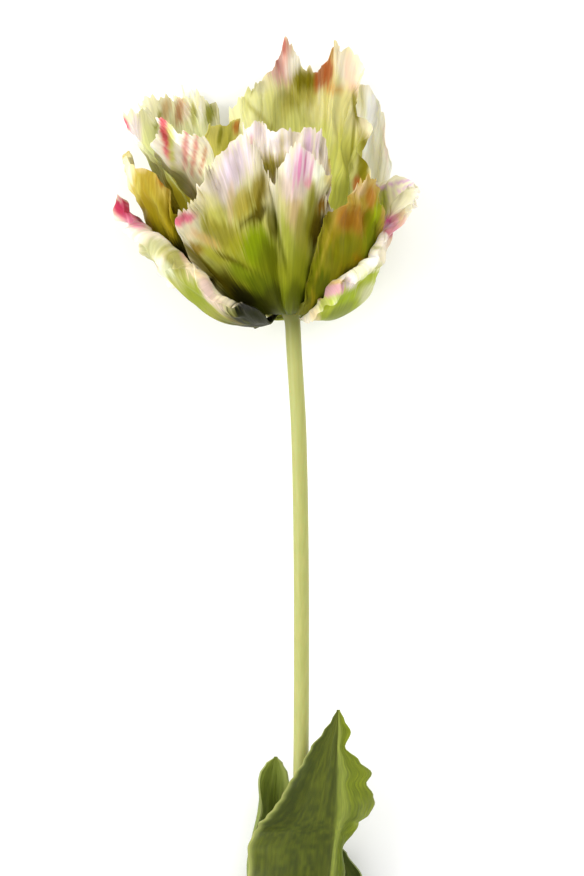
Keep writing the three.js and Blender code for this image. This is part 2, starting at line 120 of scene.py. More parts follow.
def wander_over(x, y, seed=0.0):
    """Smooth chance over a sheet, between -1 and 1."""
    i, j = np.floor(x), np.floor(y)
    tx, ty = smooth(x - i), smooth(y - j)

    def corner(a, b):
        return draw(a + 137.0 * b + seed * 71.0)

    low = mix(corner(i, j), corner(i + 1, j), tx)
    return 2 * mix(low, mix(corner(i, j + 1), corner(i + 1, j + 1), tx), ty) - 1


print("three draws:", [round(float(draw(n)), 3) for n in (1, 2, 3)])

# %% [markdown]
# ## Colours
# Colours are picked as screen colours and Blender mixes light with linear ones, so one function turns
# each hex value into its linear value. The petals' colours run along the veins in streaks and washes,
# like a watercolour. Some washes are painted shade, in creases, recesses and gaps between petals, and
# the hollows between crumples are painted darker and their crests lighter. The colours are worked out
# for each point of the sheet and kept in a colour attribute called Tint, which the materials of the
# petals and leaves read.

# %% Hex to linear, and helpers for nodes


def linear(hex_colour):
    """A #rrggbb screen colour as linear red, green and blue."""
    channels = [int(hex_colour[i : i + 2], 16) / 255 for i in (1, 3, 5)]
    return [c / 12.92 if c <= 0.04045 else ((c + 0.055) / 1.055) ** 2.4 for c in channels]


def plug(tree, node, inputs):
    """What goes into a node's sockets: a value, or another node's output."""
    for socket, value in inputs.items():
        if isinstance(value, bpy.types.NodeSocket):
            tree.links.new(value, node.inputs[socket])
        else:
            node.inputs[socket].default_value = value


def add_node(tree, kind, output, inputs=None, **settings):
    """One shader node with its inputs and settings, of which one output is used."""
    node = tree.nodes.new("ShaderNode" + kind)
    for name, value in settings.items():
        setattr(node, name, value)
    plug(tree, node, inputs or {})
    return node.outputs[output]


def new_material(name):
    material = bpy.data.materials.new(name)
    material.use_nodes = True
    tree = material.node_tree
    return material, tree, tree.nodes["Principled BSDF"]


def noise(tree, place, stretch, detail=3.0, roughness=0.5, dimensions="3D"):
    """Grain over a place whose three directions are stretched first."""
    at = add_node(tree, "Mapping", "Vector", {"Vector": place, "Scale": stretch})
    inputs = {"Vector": at, "Scale": 1.0, "Detail": detail, "Roughness": roughness}
    return add_node(tree, "TexNoise", "Fac", inputs, noise_dimensions=dimensions)


def spread(tree, value, start, end, low, high):
    """Turns the span from start to end into the one from low to high."""
    inputs = {"Value": value, "From Min": start, "From Max": end, "To Min": low, "To Max": high}
    return add_node(tree, "MapRange", "Result", inputs)


def between(tree, factor, low, high):
    """A colour between two colours, each a hex value or another node's output."""
    low, high = ((*linear(hue), 1) if isinstance(hue, str) else hue for hue in (low, high))
    return add_node(tree, "Mix", 2, {"Factor": factor, 6: low, 7: high}, data_type="RGBA")


def fine_bump(tree, height, strength, depth_mm):
    inputs = {"Height": height, "Strength": strength, "Distance": depth_mm * MM}
    return add_node(tree, "Bump", "Normal", inputs)


print("mid green turns from #98a038 to", [round(c, 3) for c in linear("#98a038")])

# %% [markdown]
# ## Fresh petal
# A tulip petal is a thin living skin: satin, slightly see-through, with fine ribs that run from the claw
# to the margin. The sheen comes from a middling roughness and takes on the petal's own colour. Some light
# is let through the skin. The ribs follow the petal's own "Skin" attribute, which counts millimetres
# across the petal and along its veins, and they change the colour a little and raise a fine bump.

# %% Petal material
RIB_MM, RIB_LENGTH_MM = 0.9, 22.0  # the real ribs are about 0.5 mm apart, drawn wider so that they show


def veined(tree, stretch, detail, roughness, darkest):
    """The piece's Tint, the streaks that follow its Skin attribute, and the Tint as they shade it."""
    tint = add_node(tree, "VertexColor", "Color", layer_name="Tint")
    place = add_node(tree, "Attribute", "Vector", attribute_name="Skin")
    streaks = noise(tree, place, stretch, detail, roughness, "2D")
    shade = {0: tint, "Scale": spread(tree, streaks, 0.3, 0.7, darkest, 1.1)}
    return tint, streaks, add_node(tree, "VectorMath", "Vector", shade, operation="SCALE")


def make_petal_skin():
    material, tree, skin = new_material("fresh tulip petal")
    tint, ribs, colour = veined(tree, (1 / RIB_MM, 1 / RIB_LENGTH_MM, 1), 4.0, 0.6, 0.85)
    plug(tree, skin, {
        "Base Color": colour, "Specular Tint": tint, "Normal": fine_bump(tree, ribs, 0.35, 0.3),
        "Roughness": spread(tree, ribs, 0.25, 0.75, 0.5, 0.68), "IOR": 1.36, "Specular IOR Level": 0.4,
        "Subsurface Weight": 0.4, "Subsurface Radius": (1.0, 0.85, 0.4), "Subsurface Scale": 1.0 * MM,
    })
    return material


petal_skin = make_petal_skin()
print("petal material:", len(petal_skin.node_tree.nodes), "nodes")

# %% [markdown]
# ## From a formula to a blade
# The grid primitive gives a flat sheet. Its points go where the formula says, a colour and a place in
# millimetres are stored for each point, and the Solidify modifier gives the sheet its thickness. A weight
# for each point lets the margin be thinner than the middle, as a real petal's is.

# %% Blade maker
WEIGHT_STEPS = 10  # how many steps the thickness fades in


def only_selected(thing):
    bpy.ops.object.select_all(action="DESELECT")
    thing.select_set(True)
    bpy.context.view_layer.objects.active = thing


def points_of(piece):
    co = np.zeros(len(piece.data.vertices) * 3)
    piece.data.vertices.foreach_get("co", co)
    return co.reshape(-1, 3)


def place_points(piece, points):
    """Moves a mesh's points to where they are in the bloom's frame, in millimetres."""
    placed = (points + [0, -REST_ALONG, AXIS_HEIGHT]) * MM
    piece.data.vertices.foreach_set("co", placed.ravel())


def dress(piece, material, slot, *nodes):
    """Gives a finished piece its material and its body, and hides the plain solids that it stands for."""
    piece.data.materials.clear()
    piece.data.materials.append(material)
    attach(piece, "root")
    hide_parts(*nodes)
    print(piece.name, "has", len(piece.data.polygons), "faces")


def blade(name, form, grid, thickness, shape, tint, thin_edge=0.5, dense_tip=1.3):
    """A closed blade: shape gives the form's points in the bloom's frame, and tint their colours."""
    bpy.ops.mesh.primitive_grid_add(x_subdivisions=grid[0], y_subdivisions=grid[1], size=2)
    piece = bpy.context.object
    piece.name = piece.data.name = name
    u, flat_v, _ = points_of(piece).T
    v = 1 - (1 - (flat_v + 1) / 2) ** dense_tip
    points = shape(form, u, v)
    points[:, 2] = np.maximum(points[:, 2], thickness / 2 - AXIS_HEIGHT)
    place_points(piece, points)
    layer = piece.data.color_attributes.new(name="Tint", type="FLOAT_COLOR", domain="POINT")
    colours = np.ones((len(points), 4))
    colours[:, :3] = tint(form, u, v, points)
    layer.data.foreach_set("color", colours.ravel())
    skin = piece.data.attributes.new(name="Skin", type="FLOAT_VECTOR", domain="POINT")
    skin.data.foreach_set("vector", np.stack([u * form["half_width"], v * 100, 0 * u], axis=1).ravel())
    weights = mix(1.0, thin_edge, rise(v, 0.75, 0.25))
    full = piece.vertex_groups.new(name="full thickness")
    for level in range(WEIGHT_STEPS + 1):
        near = np.nonzero(np.round(weights * WEIGHT_STEPS) == level)[0]
        if len(near):
            full.add(near.tolist(), level / WEIGHT_STEPS, "REPLACE")
    wall = piece.modifiers.new("blade thickness", "SOLIDIFY")
    wall.thickness = thickness * MM
    wall.offset = 0
    wall.vertex_group = "full thickness"
    only_selected(piece)
    bpy.ops.object.modifier_apply(modifier=wall.name)
    bpy.ops.object.shade_smooth_by_angle(angle=math.radians(70))
    return piece


# %% [markdown]
# ## How a petal is drawn
# A petal's spine is the midrib's curve, its margin is the outline from one side of the claw round the tip
# to the other, roll and share say how far the margin turns outwards, and pleats are folds. To the plain
# form, the fine one adds small feathered teeth and ruffles that grow towards the margin.

# %% The petal's own formula
CLAW_HALF_WIDTH = 2.4
CLAW_GAP = 0.35  # how far a claw stands clear of the receptacle
RECEPTACLE_TOP = 10.6
RECEPTACLE_RADII = 4.7, 3.4  # at its foot and at its top
FIRST_SEAT, SEAT_STEP = 0.9, 1.45  # the lowest petals' height on it, and from one ring to the next
WIDEST_TURN = 1.45  # a petal never reaches further round the bloom than this, in radians
FLARE = 1.25  # how late along its veins a petal grows wide
FINE_TOOTH = 1.9  # how wide a fine tooth is, on average
# Height, size across and along the veins, slant, seed, and where along a vein they start and over what
CRUMPLES = [
    (2.4, 5.5, 10, 0.3, 6, 0.45, 0.5), (1.1, 2.6, 4.6, 0, 9, 0.5, 0.5), (0.4, 1.2, 3.0, 0, 12, 0.75, 0.25),
]


def cone_radius(height):
    """The receptacle that the petals are seated on."""
    return mix(*RECEPTACLE_RADII, np.maximum(0.0, height) / RECEPTACLE_TOP)


def on_petal(petal, side, q, out):
    """A point on the petal's sheet, side millimetres from the midrib and q along it, lifted by out."""
    seat_height = FIRST_SEAT + SEAT_STEP * petal["ring"]
    handles = np.array([[cone_radius(seat_height) + CLAW_GAP, seat_height], *petal["spine"]], float)
    r, h = bezier(q, handles[:, 0]), bezier(q, handles[:, 1])
    dr, dh = bezier(q + 0.01, handles[:, 0]) - r, bezier(q + 0.01, handles[:, 1]) - h
    length = np.hypot(dr, dh)
    pivot = r * mix(1, np.where(side < 0, *petal["cup"]), smooth(q / 0.5))
    facing = math.radians(petal["facing"])
    turn = facing + WIDEST_TURN * np.tanh(side / pivot / WIDEST_TURN)
    away = pivot + out * dh / length
    x = (r - pivot) * math.sin(facing) + away * np.sin(turn)
    z = (r - pivot) * math.cos(facing) + away * np.cos(turn)
    return np.stack([x, h - out * dr / length, z], axis=1)


def vein_end(petal, u):
    """Where a vein meets the margin: millimetres across, and hundredths of the spine along."""
    return through_rows(petal["margin"], (u + 1) / 2)


def margin_run(petal, u):
    """How far along the margin a vein ends, taking a hundredth of the spine for a millimetre."""
    veins = np.linspace(-1, 1, 400)
    across, along = vein_end(petal, veins)
    steps = np.hypot(np.diff(across), np.diff(along))
    return np.interp(u, veins, np.concatenate([[0], np.cumsum(steps)]))


def margin_teeth(petal, u):
    """How far the margin's feathering reaches past the outline, in millimetres."""
    cells, facing, seed = petal["cells"], petal["facing"], petal["seed"]
    i = np.arange(cells + 1)
    plain = np.where(i % 2 == 1, 0.6 + 0.8 * draw(i + facing), -0.5 * draw(i - facing))
    coarse = np.interp((u + 1) / 2 * cells, i, plain) * petal["teeth"]
    run = margin_run(petal, u)
    place = run / FINE_TOOTH + 0.6 * wander(run / 3.7, seed)
    tall = draw(np.floor(place) + 7 * facing) ** 1.7
    point = (1 - np.abs(2 * (place - np.floor(place)) - 1)) ** 0.8
    tuft = 0.7 + 0.6 * wander(run / 8, seed + 3)
    return 0.45 * coarse + 1.3 * petal["feather"] * (tall * tuft * point - 0.2)


def spot(points, x, h, wide, tall, lean):
    """How far each point is from a place of the picture plane: 1 at its half width and half height."""
    lean = math.radians(lean)
    dx, dh = points[:, 0] - x, points[:, 1] - h
    over = (dx * math.cos(lean) - dh * math.sin(lean)) / wide
    up = (dx * math.sin(lean) + dh * math.cos(lean)) / tall
    return np.hypot(over, up)


def ruffles(petal, u, v):
    """Soft folds in the blade and the crumples that grow towards its margin, in millimetres."""
    seed = petal["seed"]
    across, along = vein_end(petal, u)
    side, length = across * v**FLARE, along * v
    # Places are shifted first, so that no fold runs straight.
    x = side + 3.5 * wander_over(side / 13, length / 19, seed + 1)
    y = length + 4.0 * wander_over(side / 9, length / 15, seed + 2)
    run = margin_run(petal, u) + 3 * wander(length / 11, seed + 3)
    folds = 1.6 * wander_over(x / 12, y / 27, seed + 5) * rise(v, 0.15, 0.6)
    crumples = 0
    for height, wide, long, slant, own, start, span in CRUMPLES:
        place = x / wide + slant * y / 9
        crumples += height * wander_over(place, y / long, seed + own) * rise(v, start, span)
    crumples += 3.0 * wander(run / 6.5, seed + 14) * rise(v, 0.8, 0.2) ** 1.2
    amount = petal["ruffle"] * rise(along, 14, 45) * (1 - rise(u, petal["calm"], 0.12))
    return amount * folds, amount * crumples


def petal_shape(petal, u, v):
    across, along = vein_end(petal, u)
    reach = np.hypot(across, along * 0.75)
    tooth = margin_teeth(petal, u) * rise(v, 0.82, 0.18) / reach
    start, radius = petal["roll"]
    share = along_list(petal["share"], u)
    past = np.maximum(0, v - start) * reach
    turned = np.maximum(1e-6, past / radius * np.abs(share))
    w = np.where(v > start, start + (v - start) * np.sin(turned) / turned, v)
    out = np.sign(share) * past * (1 - np.cos(turned)) / turned
    side = CLAW_HALF_WIDTH * u * (1 - w) + across * w**FLARE * (1 + tooth)
    q = along / 100 * w**0.95 * (1 + tooth)
    free = smooth(q / 0.4)  # near the claw the blade is held by its neighbours
    for at, width, lift in petal["pleats"]:
        out += lift * bump(u, at, width) * (smooth(v / 0.6) * free)
    waves, height, turn = petal["frill"]
    wave = np.sin(2 * np.pi * (waves * u + turn) + 1.5 * wander(u * waves, petal["seed"]))
    out += 0.5 * height * wave * rise(v, 0.6, 0.4) * free
    folds, crumples = ruffles(petal, u, v)
    out += folds + crumples
    plain = on_petal(petal, side, q, out)
    for x, h, wide, tall, lean, lift in petal["relief"]:
        out += lift * np.exp(-(spot(plain, x, h, wide, tall, lean) ** 2)) * smooth(v / 0.2)
    return on_petal(petal, side, q, out)


RICHNESS = 1.06  # how much stronger the colours are than picked, against the sheen
CONTRAST = 1.18  # how much deeper the dark places are, as light from all around fills them
LIGHTNESS = 0.91  # how much darker all is, as the light is bright enough for a white floor
GREY_SHARES = np.array([0.21, 0.72, 0.07])  # how bright red, green and blue look
CRUMPLE_SHADE_HUE = np.array([1.0, 1.0, 1.35])  # painted shade in the crumples' hollows, painted light on their crests; blue falls off most in hollows


def petal_tint(petal, u, v, points):
    """The colour of each point: along the veins from the claw to the margin, then the washes over it, some of
    them painted shade, then painted shade and light from the crumples.
    """
    seed, stops = petal["seed"], list(petal["body"])
    hues = np.array([linear(hue) for hue in petal["body"].values()])
    vein = u * petal["half_width"]
    streak = 0.6 * wander_over(vein / 1.7, v * 7, seed + 2) + 0.4 * wander_over(vein / 0.7, v * 12, seed + 4)
    fine = wander_over(vein / 0.55, v * 4, seed + 8) * rise(v, 0.3, 0.4)
    run = v + 0.05 * wander_over(vein / 3, v * 4, seed) + 0.03 * streak
    tint = np.stack([np.interp(run, stops, hues[:, k]) for k in range(3)], axis=1)
    for x, h, wide, tall, lean, hue, strength in petal["washes"]:
        ragged = 0.3 * fine + 0.25 * wander_over(vein / 4, v * 8, seed + x)
        amount = strength * smooth((1.4 - spot(points, x, h, wide, tall, lean) + ragged) / 0.9)
        tint = mix(tint, np.array(linear(hue)), amount[:, None])
    _, crumples = ruffles(petal, u, v)
    # painted shade in the hollows between crumples, and painted light on their crests
    tint *= (1 + 0.16 * np.clip(crumples / 2.2, -1.3, 1.1))[:, None] ** CRUMPLE_SHADE_HUE
    tint = mix((tint @ GREY_SHARES)[:, None], tint, RICHNESS)
    return np.clip(LIGHTNESS * tint**CONTRAST * (1 + 0.06 * streak + 0.05 * fine)[:, None], 0.004, 0.95)


print("the seat of the lowest petals has a radius of", round(cone_radius(FIRST_SEAT), 2), "mm")

# %% [markdown]
# ## The outer petals
# Three petals stand outermost: left and right ones that curl away from the bloom, so that their cream
# and pink inner faces show along the margin, and the one that the flower lies on. A wash is a place in
# the picture plane (across, up the bloom), its half width and half height, its lean, a colour and, where
# it is not the usual, how strongly it covers.

# %% Table of the outer petals
PETAL_THICKNESS = 0.7
USUAL_COVER = 0.85


def make_petal(name, node, slot, grid, share, washes, **form):
    """A petal from its numbers. Its roll fades at both ends of the margin."""
    petal = {"pleats": [], "relief": [], "calm": 1, "teeth": 1.2, **form}
    petal["seed"] = form["ring"] + form["facing"] / 10
    petal["half_width"] = max(abs(across) for across, _ in form["margin"])
    petal["share"] = [(-1, 0), *share, (1, 0)]
    petal["washes"] = [(*wash, USUAL_COVER)[:7] for wash in washes]
    piece = blade(name, petal, grid, PETAL_THICKNESS, petal_shape, petal_tint)
    dress(piece, petal_skin, slot, node)


make_petal(
    "left_outer_petal", "petal_left_outer", "outer_petal", facing=-84, ring=0,
    spine=[(24, -13.6), (44, 1.3), (66, 45)], cup=(0.8, 0.85), roll=(0.84, 3.6), frill=(5, 1.0, 0.4),
    cells=30, teeth=1.0, feather=0.5, ruffle=1.1, calm=0.62, grid=(460, 48),
    share=[
        (-0.9, 0.1), (-0.6, 0.3), (0, 0.3), (0.15, 0.5), (0.36, 0.9), (0.52, 0.35), (0.62, 0.5), (0.7, 0.6),
        (0.8, 0.1),
    ],
    pleats=[(0.0, 0.2, 1.5)],
    margin=[
        (-24, 20), (-31, 36), (-33, 54), (-29, 72), (-20, 86), (-10, 93), (-5, 98), (0, 105), (4, 100),
        (10, 98), (17, 100), (24, 97), (32, 90), (37, 78), (40, 67), (43, 59), (46, 52), (48, 44),
    ],
    body={0: "#44420f", 0.3: "#929836", 0.6: "#b0b25c", 0.8: "#cdcca0", 0.9: "#e3dbc4", 1: "#f2e6d0"},
    washes=[
        (-56, 25, 6, 5, -50, "#b9ba88"), (-46, 20, 4, 7, -30, "#a8a658"), (-50, 23, 2, 3, 0, "#b0ab68", 0.6),
        (-38, 6, 5, 8, -45, "#98a23a"), (-27, -2, 4, 8, -65, "#a3a24a", 0.8),
        (-50, 17, 2.4, 4, -60, "#dcdfbe"), (-57, 34, 3, 5, -50, "#efe3d2"),
        (-53, 31, 1.2, 5, -55, "#f8f0de", 0.9), (-59.5, 35, 0.9, 1.8, -40, "#b07a70", 0.7),
        (-62, 37, 2.4, 6, -40, "#dfbcc8", 0.9), (-65, 39, 3, 7, -40, "#d884a0", 0.95),
        (-69, 42, 3.2, 5, -38, "#c4506c", 1), (-71.5, 47, 1, 1.4, -40, "#e3b8b8", 0.7),
        (-43, 22.5, 1, 4, -20, "#dcbcac", 0.7), (-41, 19, 1.1, 6, 0, "#f2e2c4"),
        (-36, 13.5, 1.1, 5, -60, "#ecd8b2", 0.8), (-33.5, 9, 2.2, 5, -25, "#e0cbc4", 0.9),
        (-29, 2.5, 1.6, 5, -45, "#d8c6b4", 0.9), (-22, -3, 1.2, 4, -60, "#b5a060", 0.7),
        # both washes below are painted shade: the dark olive near the claw, where this petal lies in shade
        # under the front petal
        (-12.5, -1, 13, 8, 0, "#353708", 1), (-16, 3.5, 7, 2.6, -20, "#262604", 1),
    ],
)
make_petal(
    "right_outer_petal", "petal_right_outer", "outer_petal", facing=88, ring=0,
    spine=[(17.5, -10.1), (32.5, 4.3), (46, 52)], cup=(1.0, 0.9), roll=(0.83, 3.6), frill=(5, 0.8, 1.1),
    cells=28, teeth=1.0, feather=0.8, ruffle=1.5, grid=(440, 48),
    share=[(-0.75, 0.6), (-0.6, 0.6), (-0.45, 0.9), (-0.15, 1.2), (0.02, 0.3), (0.9, 0.1)],
    pleats=[(0.05, 0.2, 1.2)],
    margin=[
        (-19, 14), (-29, 27), (-37, 41), (-42, 54), (-43, 66), (-39, 77), (-31, 85), (-19, 91), (-5, 96),
        (9, 101), (21, 104), (32, 105), (40, 101), (45, 92), (43, 79), (37, 66),
    ],
    body={0: "#a3a860", 0.4: "#a9b548", 0.7: "#b9c254", 0.82: "#cfd288", 0.88: "#ece6ca", 1: "#f4ecdc"},
    washes=[
        (13, 4, 4, 4, 0, "#bac450", 0.8), (20, 6, 4, 5, 60, "#a8ba3e", 0.8),
        (19, 0, 3, 7, 60, "#8f9852", 0.8), (31, 13, 3, 7, 40, "#b6c35c", 0.7), (30, 8, 4, 5, 40, "#dcdcb8"),
        (16, 9, 2.6, 5.5, 75, "#dcb2b8", 0.95), (17, 11.5, 0.9, 5, 80, "#d9c078", 0.7),
        (10, 4, 1.4, 5, 15, "#e3dcc0"), (9, -2, 2, 3, 0, "#e5d5ac"), (11.4, 6.5, 0.8, 2, 20, "#a03c3c"),
        (23, 12, 2.6, 2.8, -50, "#f0e2e0", 0.9), (27, 17, 3, 4, 45, "#e2dfbe"),
        (32, 22, 4.6, 4, 0, "#f6f0e0", 0.95), (34, 25.5, 0.9, 5, 90, "#bfbe80"),
        (36.5, 29, 4.6, 5, 0, "#f4eae2", 0.95), (40, 29, 1.6, 4, 20, "#d6b690", 0.7),
        (38, 32, 0.7, 5, -58, "#a04848"), (40, 36, 3.6, 4.6, 20, "#e0a0b4", 0.9),
        (38.3, 37.3, 1.5, 1.9, 20, "#d850a8", 0.9), (39, 34.5, 1.6, 1, 0, "#dcb8d8", 0.8),
        (43.5, 38, 1.2, 4, 10, "#dfc4a0", 0.7), (36.5, 45, 2.6, 7, 5, "#c3cb52"),
        (35, 48, 1.4, 3, 0, "#dcdba0", 0.7), (44, 49, 5, 7, 0, "#ece8cc", 0.9),
        (43, 53, 0.8, 8, 75, "#d8b0d8"), (45, 50.5, 0.6, 6, 60, "#dcbcdc", 0.7),
        (34, 51, 1.2, 0.8, 60, "#c04868", 0.8),
    ],
)
make_petal(
    "under_petal", "petal_under", "outer_petal", facing=168, ring=0, spine=[(26, -13), (68, 18), (46, 96)],
    cup=(1.0, 1.0), roll=(0.85, 6), frill=(6, 0.8, 0.2), cells=32, feather=1.0, ruffle=0.8, grid=(420, 44),
    share=[(-0.6, 0.3), (0.6, 0.3)],
    margin=[
        (-37, 83), (-32, 92), (-26, 96), (-19, 100), (-8, 101), (4, 101), (16, 100), (26, 97), (34, 90),
        (36, 78), (33, 64), (30, 50), (26, 37),
    ],
    body={0: "#6f7220", 0.4: "#aeb654", 0.66: "#dcdba4", 0.85: "#f0ead0", 1: "#f6f0de"},
    washes=[
        (33, 68, 8, 26, -10, "#fdfaf0", 1), (28, 88, 2, 8, -10, "#f0eecb", 0.7),
        (38, 70, 0.7, 10, -5, "#f4dcdc", 0.5),
    ],
)

# %% [markdown]
# ## The olive petals
# Inside the outer ones stand two petals of a deep olive green, flushed with orange brown: one on the
# left and one in front on the right.

# %% Table of the olive petals
make_petal(
    "right_front_petal", "petal_right_front", "olive_petal", facing=46, ring=1,
    spine=[(19, -10.6), (40, 18.5), (37, 52)], cup=(1.0, 0.9), roll=(0.86, 4), frill=(5, 0.8, 2.1), cells=32,
    teeth=1.0, feather=1.6, ruffle=0.6, grid=(360, 44), share=[(-0.6, 0.2), (0.6, 0.2)],
    margin=[
        (-10, 16), (-14, 32), (-17, 50), (-19, 68), (-18, 80), (-14, 88), (-8, 93), (-2, 99), (5, 101),
        (12, 99), (17, 90), (19, 76), (19, 58), (17, 40),
    ],
    body={0: "#6d6a15", 0.4: "#8d8a26", 0.7: "#9e9134", 0.88: "#b09a48", 1: "#c6b070"},
    washes=[
        (22, 38, 5, 6, 0, "#a0702c"), (26, 36, 3, 6, 0, "#a87e36", 0.8),
        (13.5, 31, 2.2, 12, 14, "#9a9434", 0.8), (17, 28, 3, 7, 5, "#958824", 0.7),
        (22, 44, 5, 1.6, 80, "#b39a44", 0.8), (20, 25, 5, 6, 0, "#858322", 0.8),
        (13, 18, 5, 7, 0, "#7c802a", 0.7), (11, 10, 4, 6, 0, "#5f6c14", 0.8),
        (7, 12, 1.6, 12, 18, "#7f8224", 0.9), (4, 3, 5, 6, 0, "#76762a", 0.95),
        (11, 32, 1.2, 14, 12, "#8a8830", 0.8), (22, 26, 4, 4, 0, "#848620", 0.6),
        (31, 31, 3, 10, 8, "#7d881e", 0.9), (34, 40, 1.8, 6, 0, "#a3b038", 0.8),
        (31, 46, 2, 4, 0, "#b08038", 0.9), (27, 48, 2.5, 3, 60, "#dcc49c"),
        (24, 50, 2, 2.5, 0, "#e8d2b8", 0.8), (29, 51, 1, 3, 0, "#e3cfa8", 0.8),
        # the last wash below is painted shade in a dark gap low on the petal
        (26.5, 21, 1.2, 2.6, -60, "#b09028", 0.8), (22, 15, 3, 3, 0, "#4a4812", 0.8),
        (25, 28, 3, 3, 0, "#8c8a26", 0.6), (15.5, 33, 0.7, 12, 16, "#b0a04c", 0.8),
        (22, 43.5, 6, 0.8, 5, "#b8a050", 0.7),
    ],
    relief=[
        (12, 34, 2.4, 13, 14, -2.6), (15.5, 31, 1.4, 14, 14, 1.0), (22, 42, 7, 1.5, 5, 0.9),
        (22, 47, 6, 2.0, 5, -1.6), (29, 38, 1.5, 8, -5, -1.6),
    ],
)
make_petal(
    "left_petal", "petal_left", "olive_petal", facing=-92, ring=3, spine=[(18, 0), (62, 9), (66, 62)],
    cup=(0.8, 0.5), roll=(0.88, 4), frill=(5, 1.0, 0.9), cells=32, feather=1.5, ruffle=0.9, grid=(360, 44),
    share=[(-0.5, 0.4), (0.2, 0.2), (0.6, -0.2)],
    margin=[
        (-20, 28), (-28, 46), (-30, 62), (-27, 78), (-19, 92), (-8, 100), (3, 102), (13, 100), (22, 98),
        (31, 96), (38, 90), (42, 78), (43, 62), (39, 44),
    ],
    body={0: "#5c5a14", 0.4: "#969028", 0.7: "#b0a438", 0.9: "#bca844", 1: "#cdbb70"},
    washes=[
        (-56, 40, 6, 8, -10, "#9c8c2c", 0.8), (-52, 32, 3, 10, -20, "#8c8224", 0.7),
        (-57, 50, 5, 6, 10, "#a8943a", 0.8), (-47.5, 40, 1.6, 9, -15, "#8f7c24", 0.7),
        # both washes below are painted shade, in the gap beside the left outer petal
        (-45, 33, 3, 9, -8, "#857c1c", 0.9), (-43, 24, 3, 6, -20, "#4c4810", 0.9),
        (-51, 54, 3.5, 5, 10, "#a2681f", 0.9), (-60, 58, 2.5, 2.5, 0, "#d8c89a", 0.8),
        (-54, 43, 1.2, 8, -25, "#b0a550", 0.6), (-61.5, 46, 1.2, 8, 5, "#c9c070", 0.7),
        (-66, 56, 3, 8, 5, "#e3dfba", 0.95),
    ],
)

# %% [markdown]
# ## The front petal
# The broadest petal stands in front with two lobes and a cleft between them. Its left lobe is pale and
# feathered with a pink tip, and its right lobe is a raised ridge, streaked with pink.

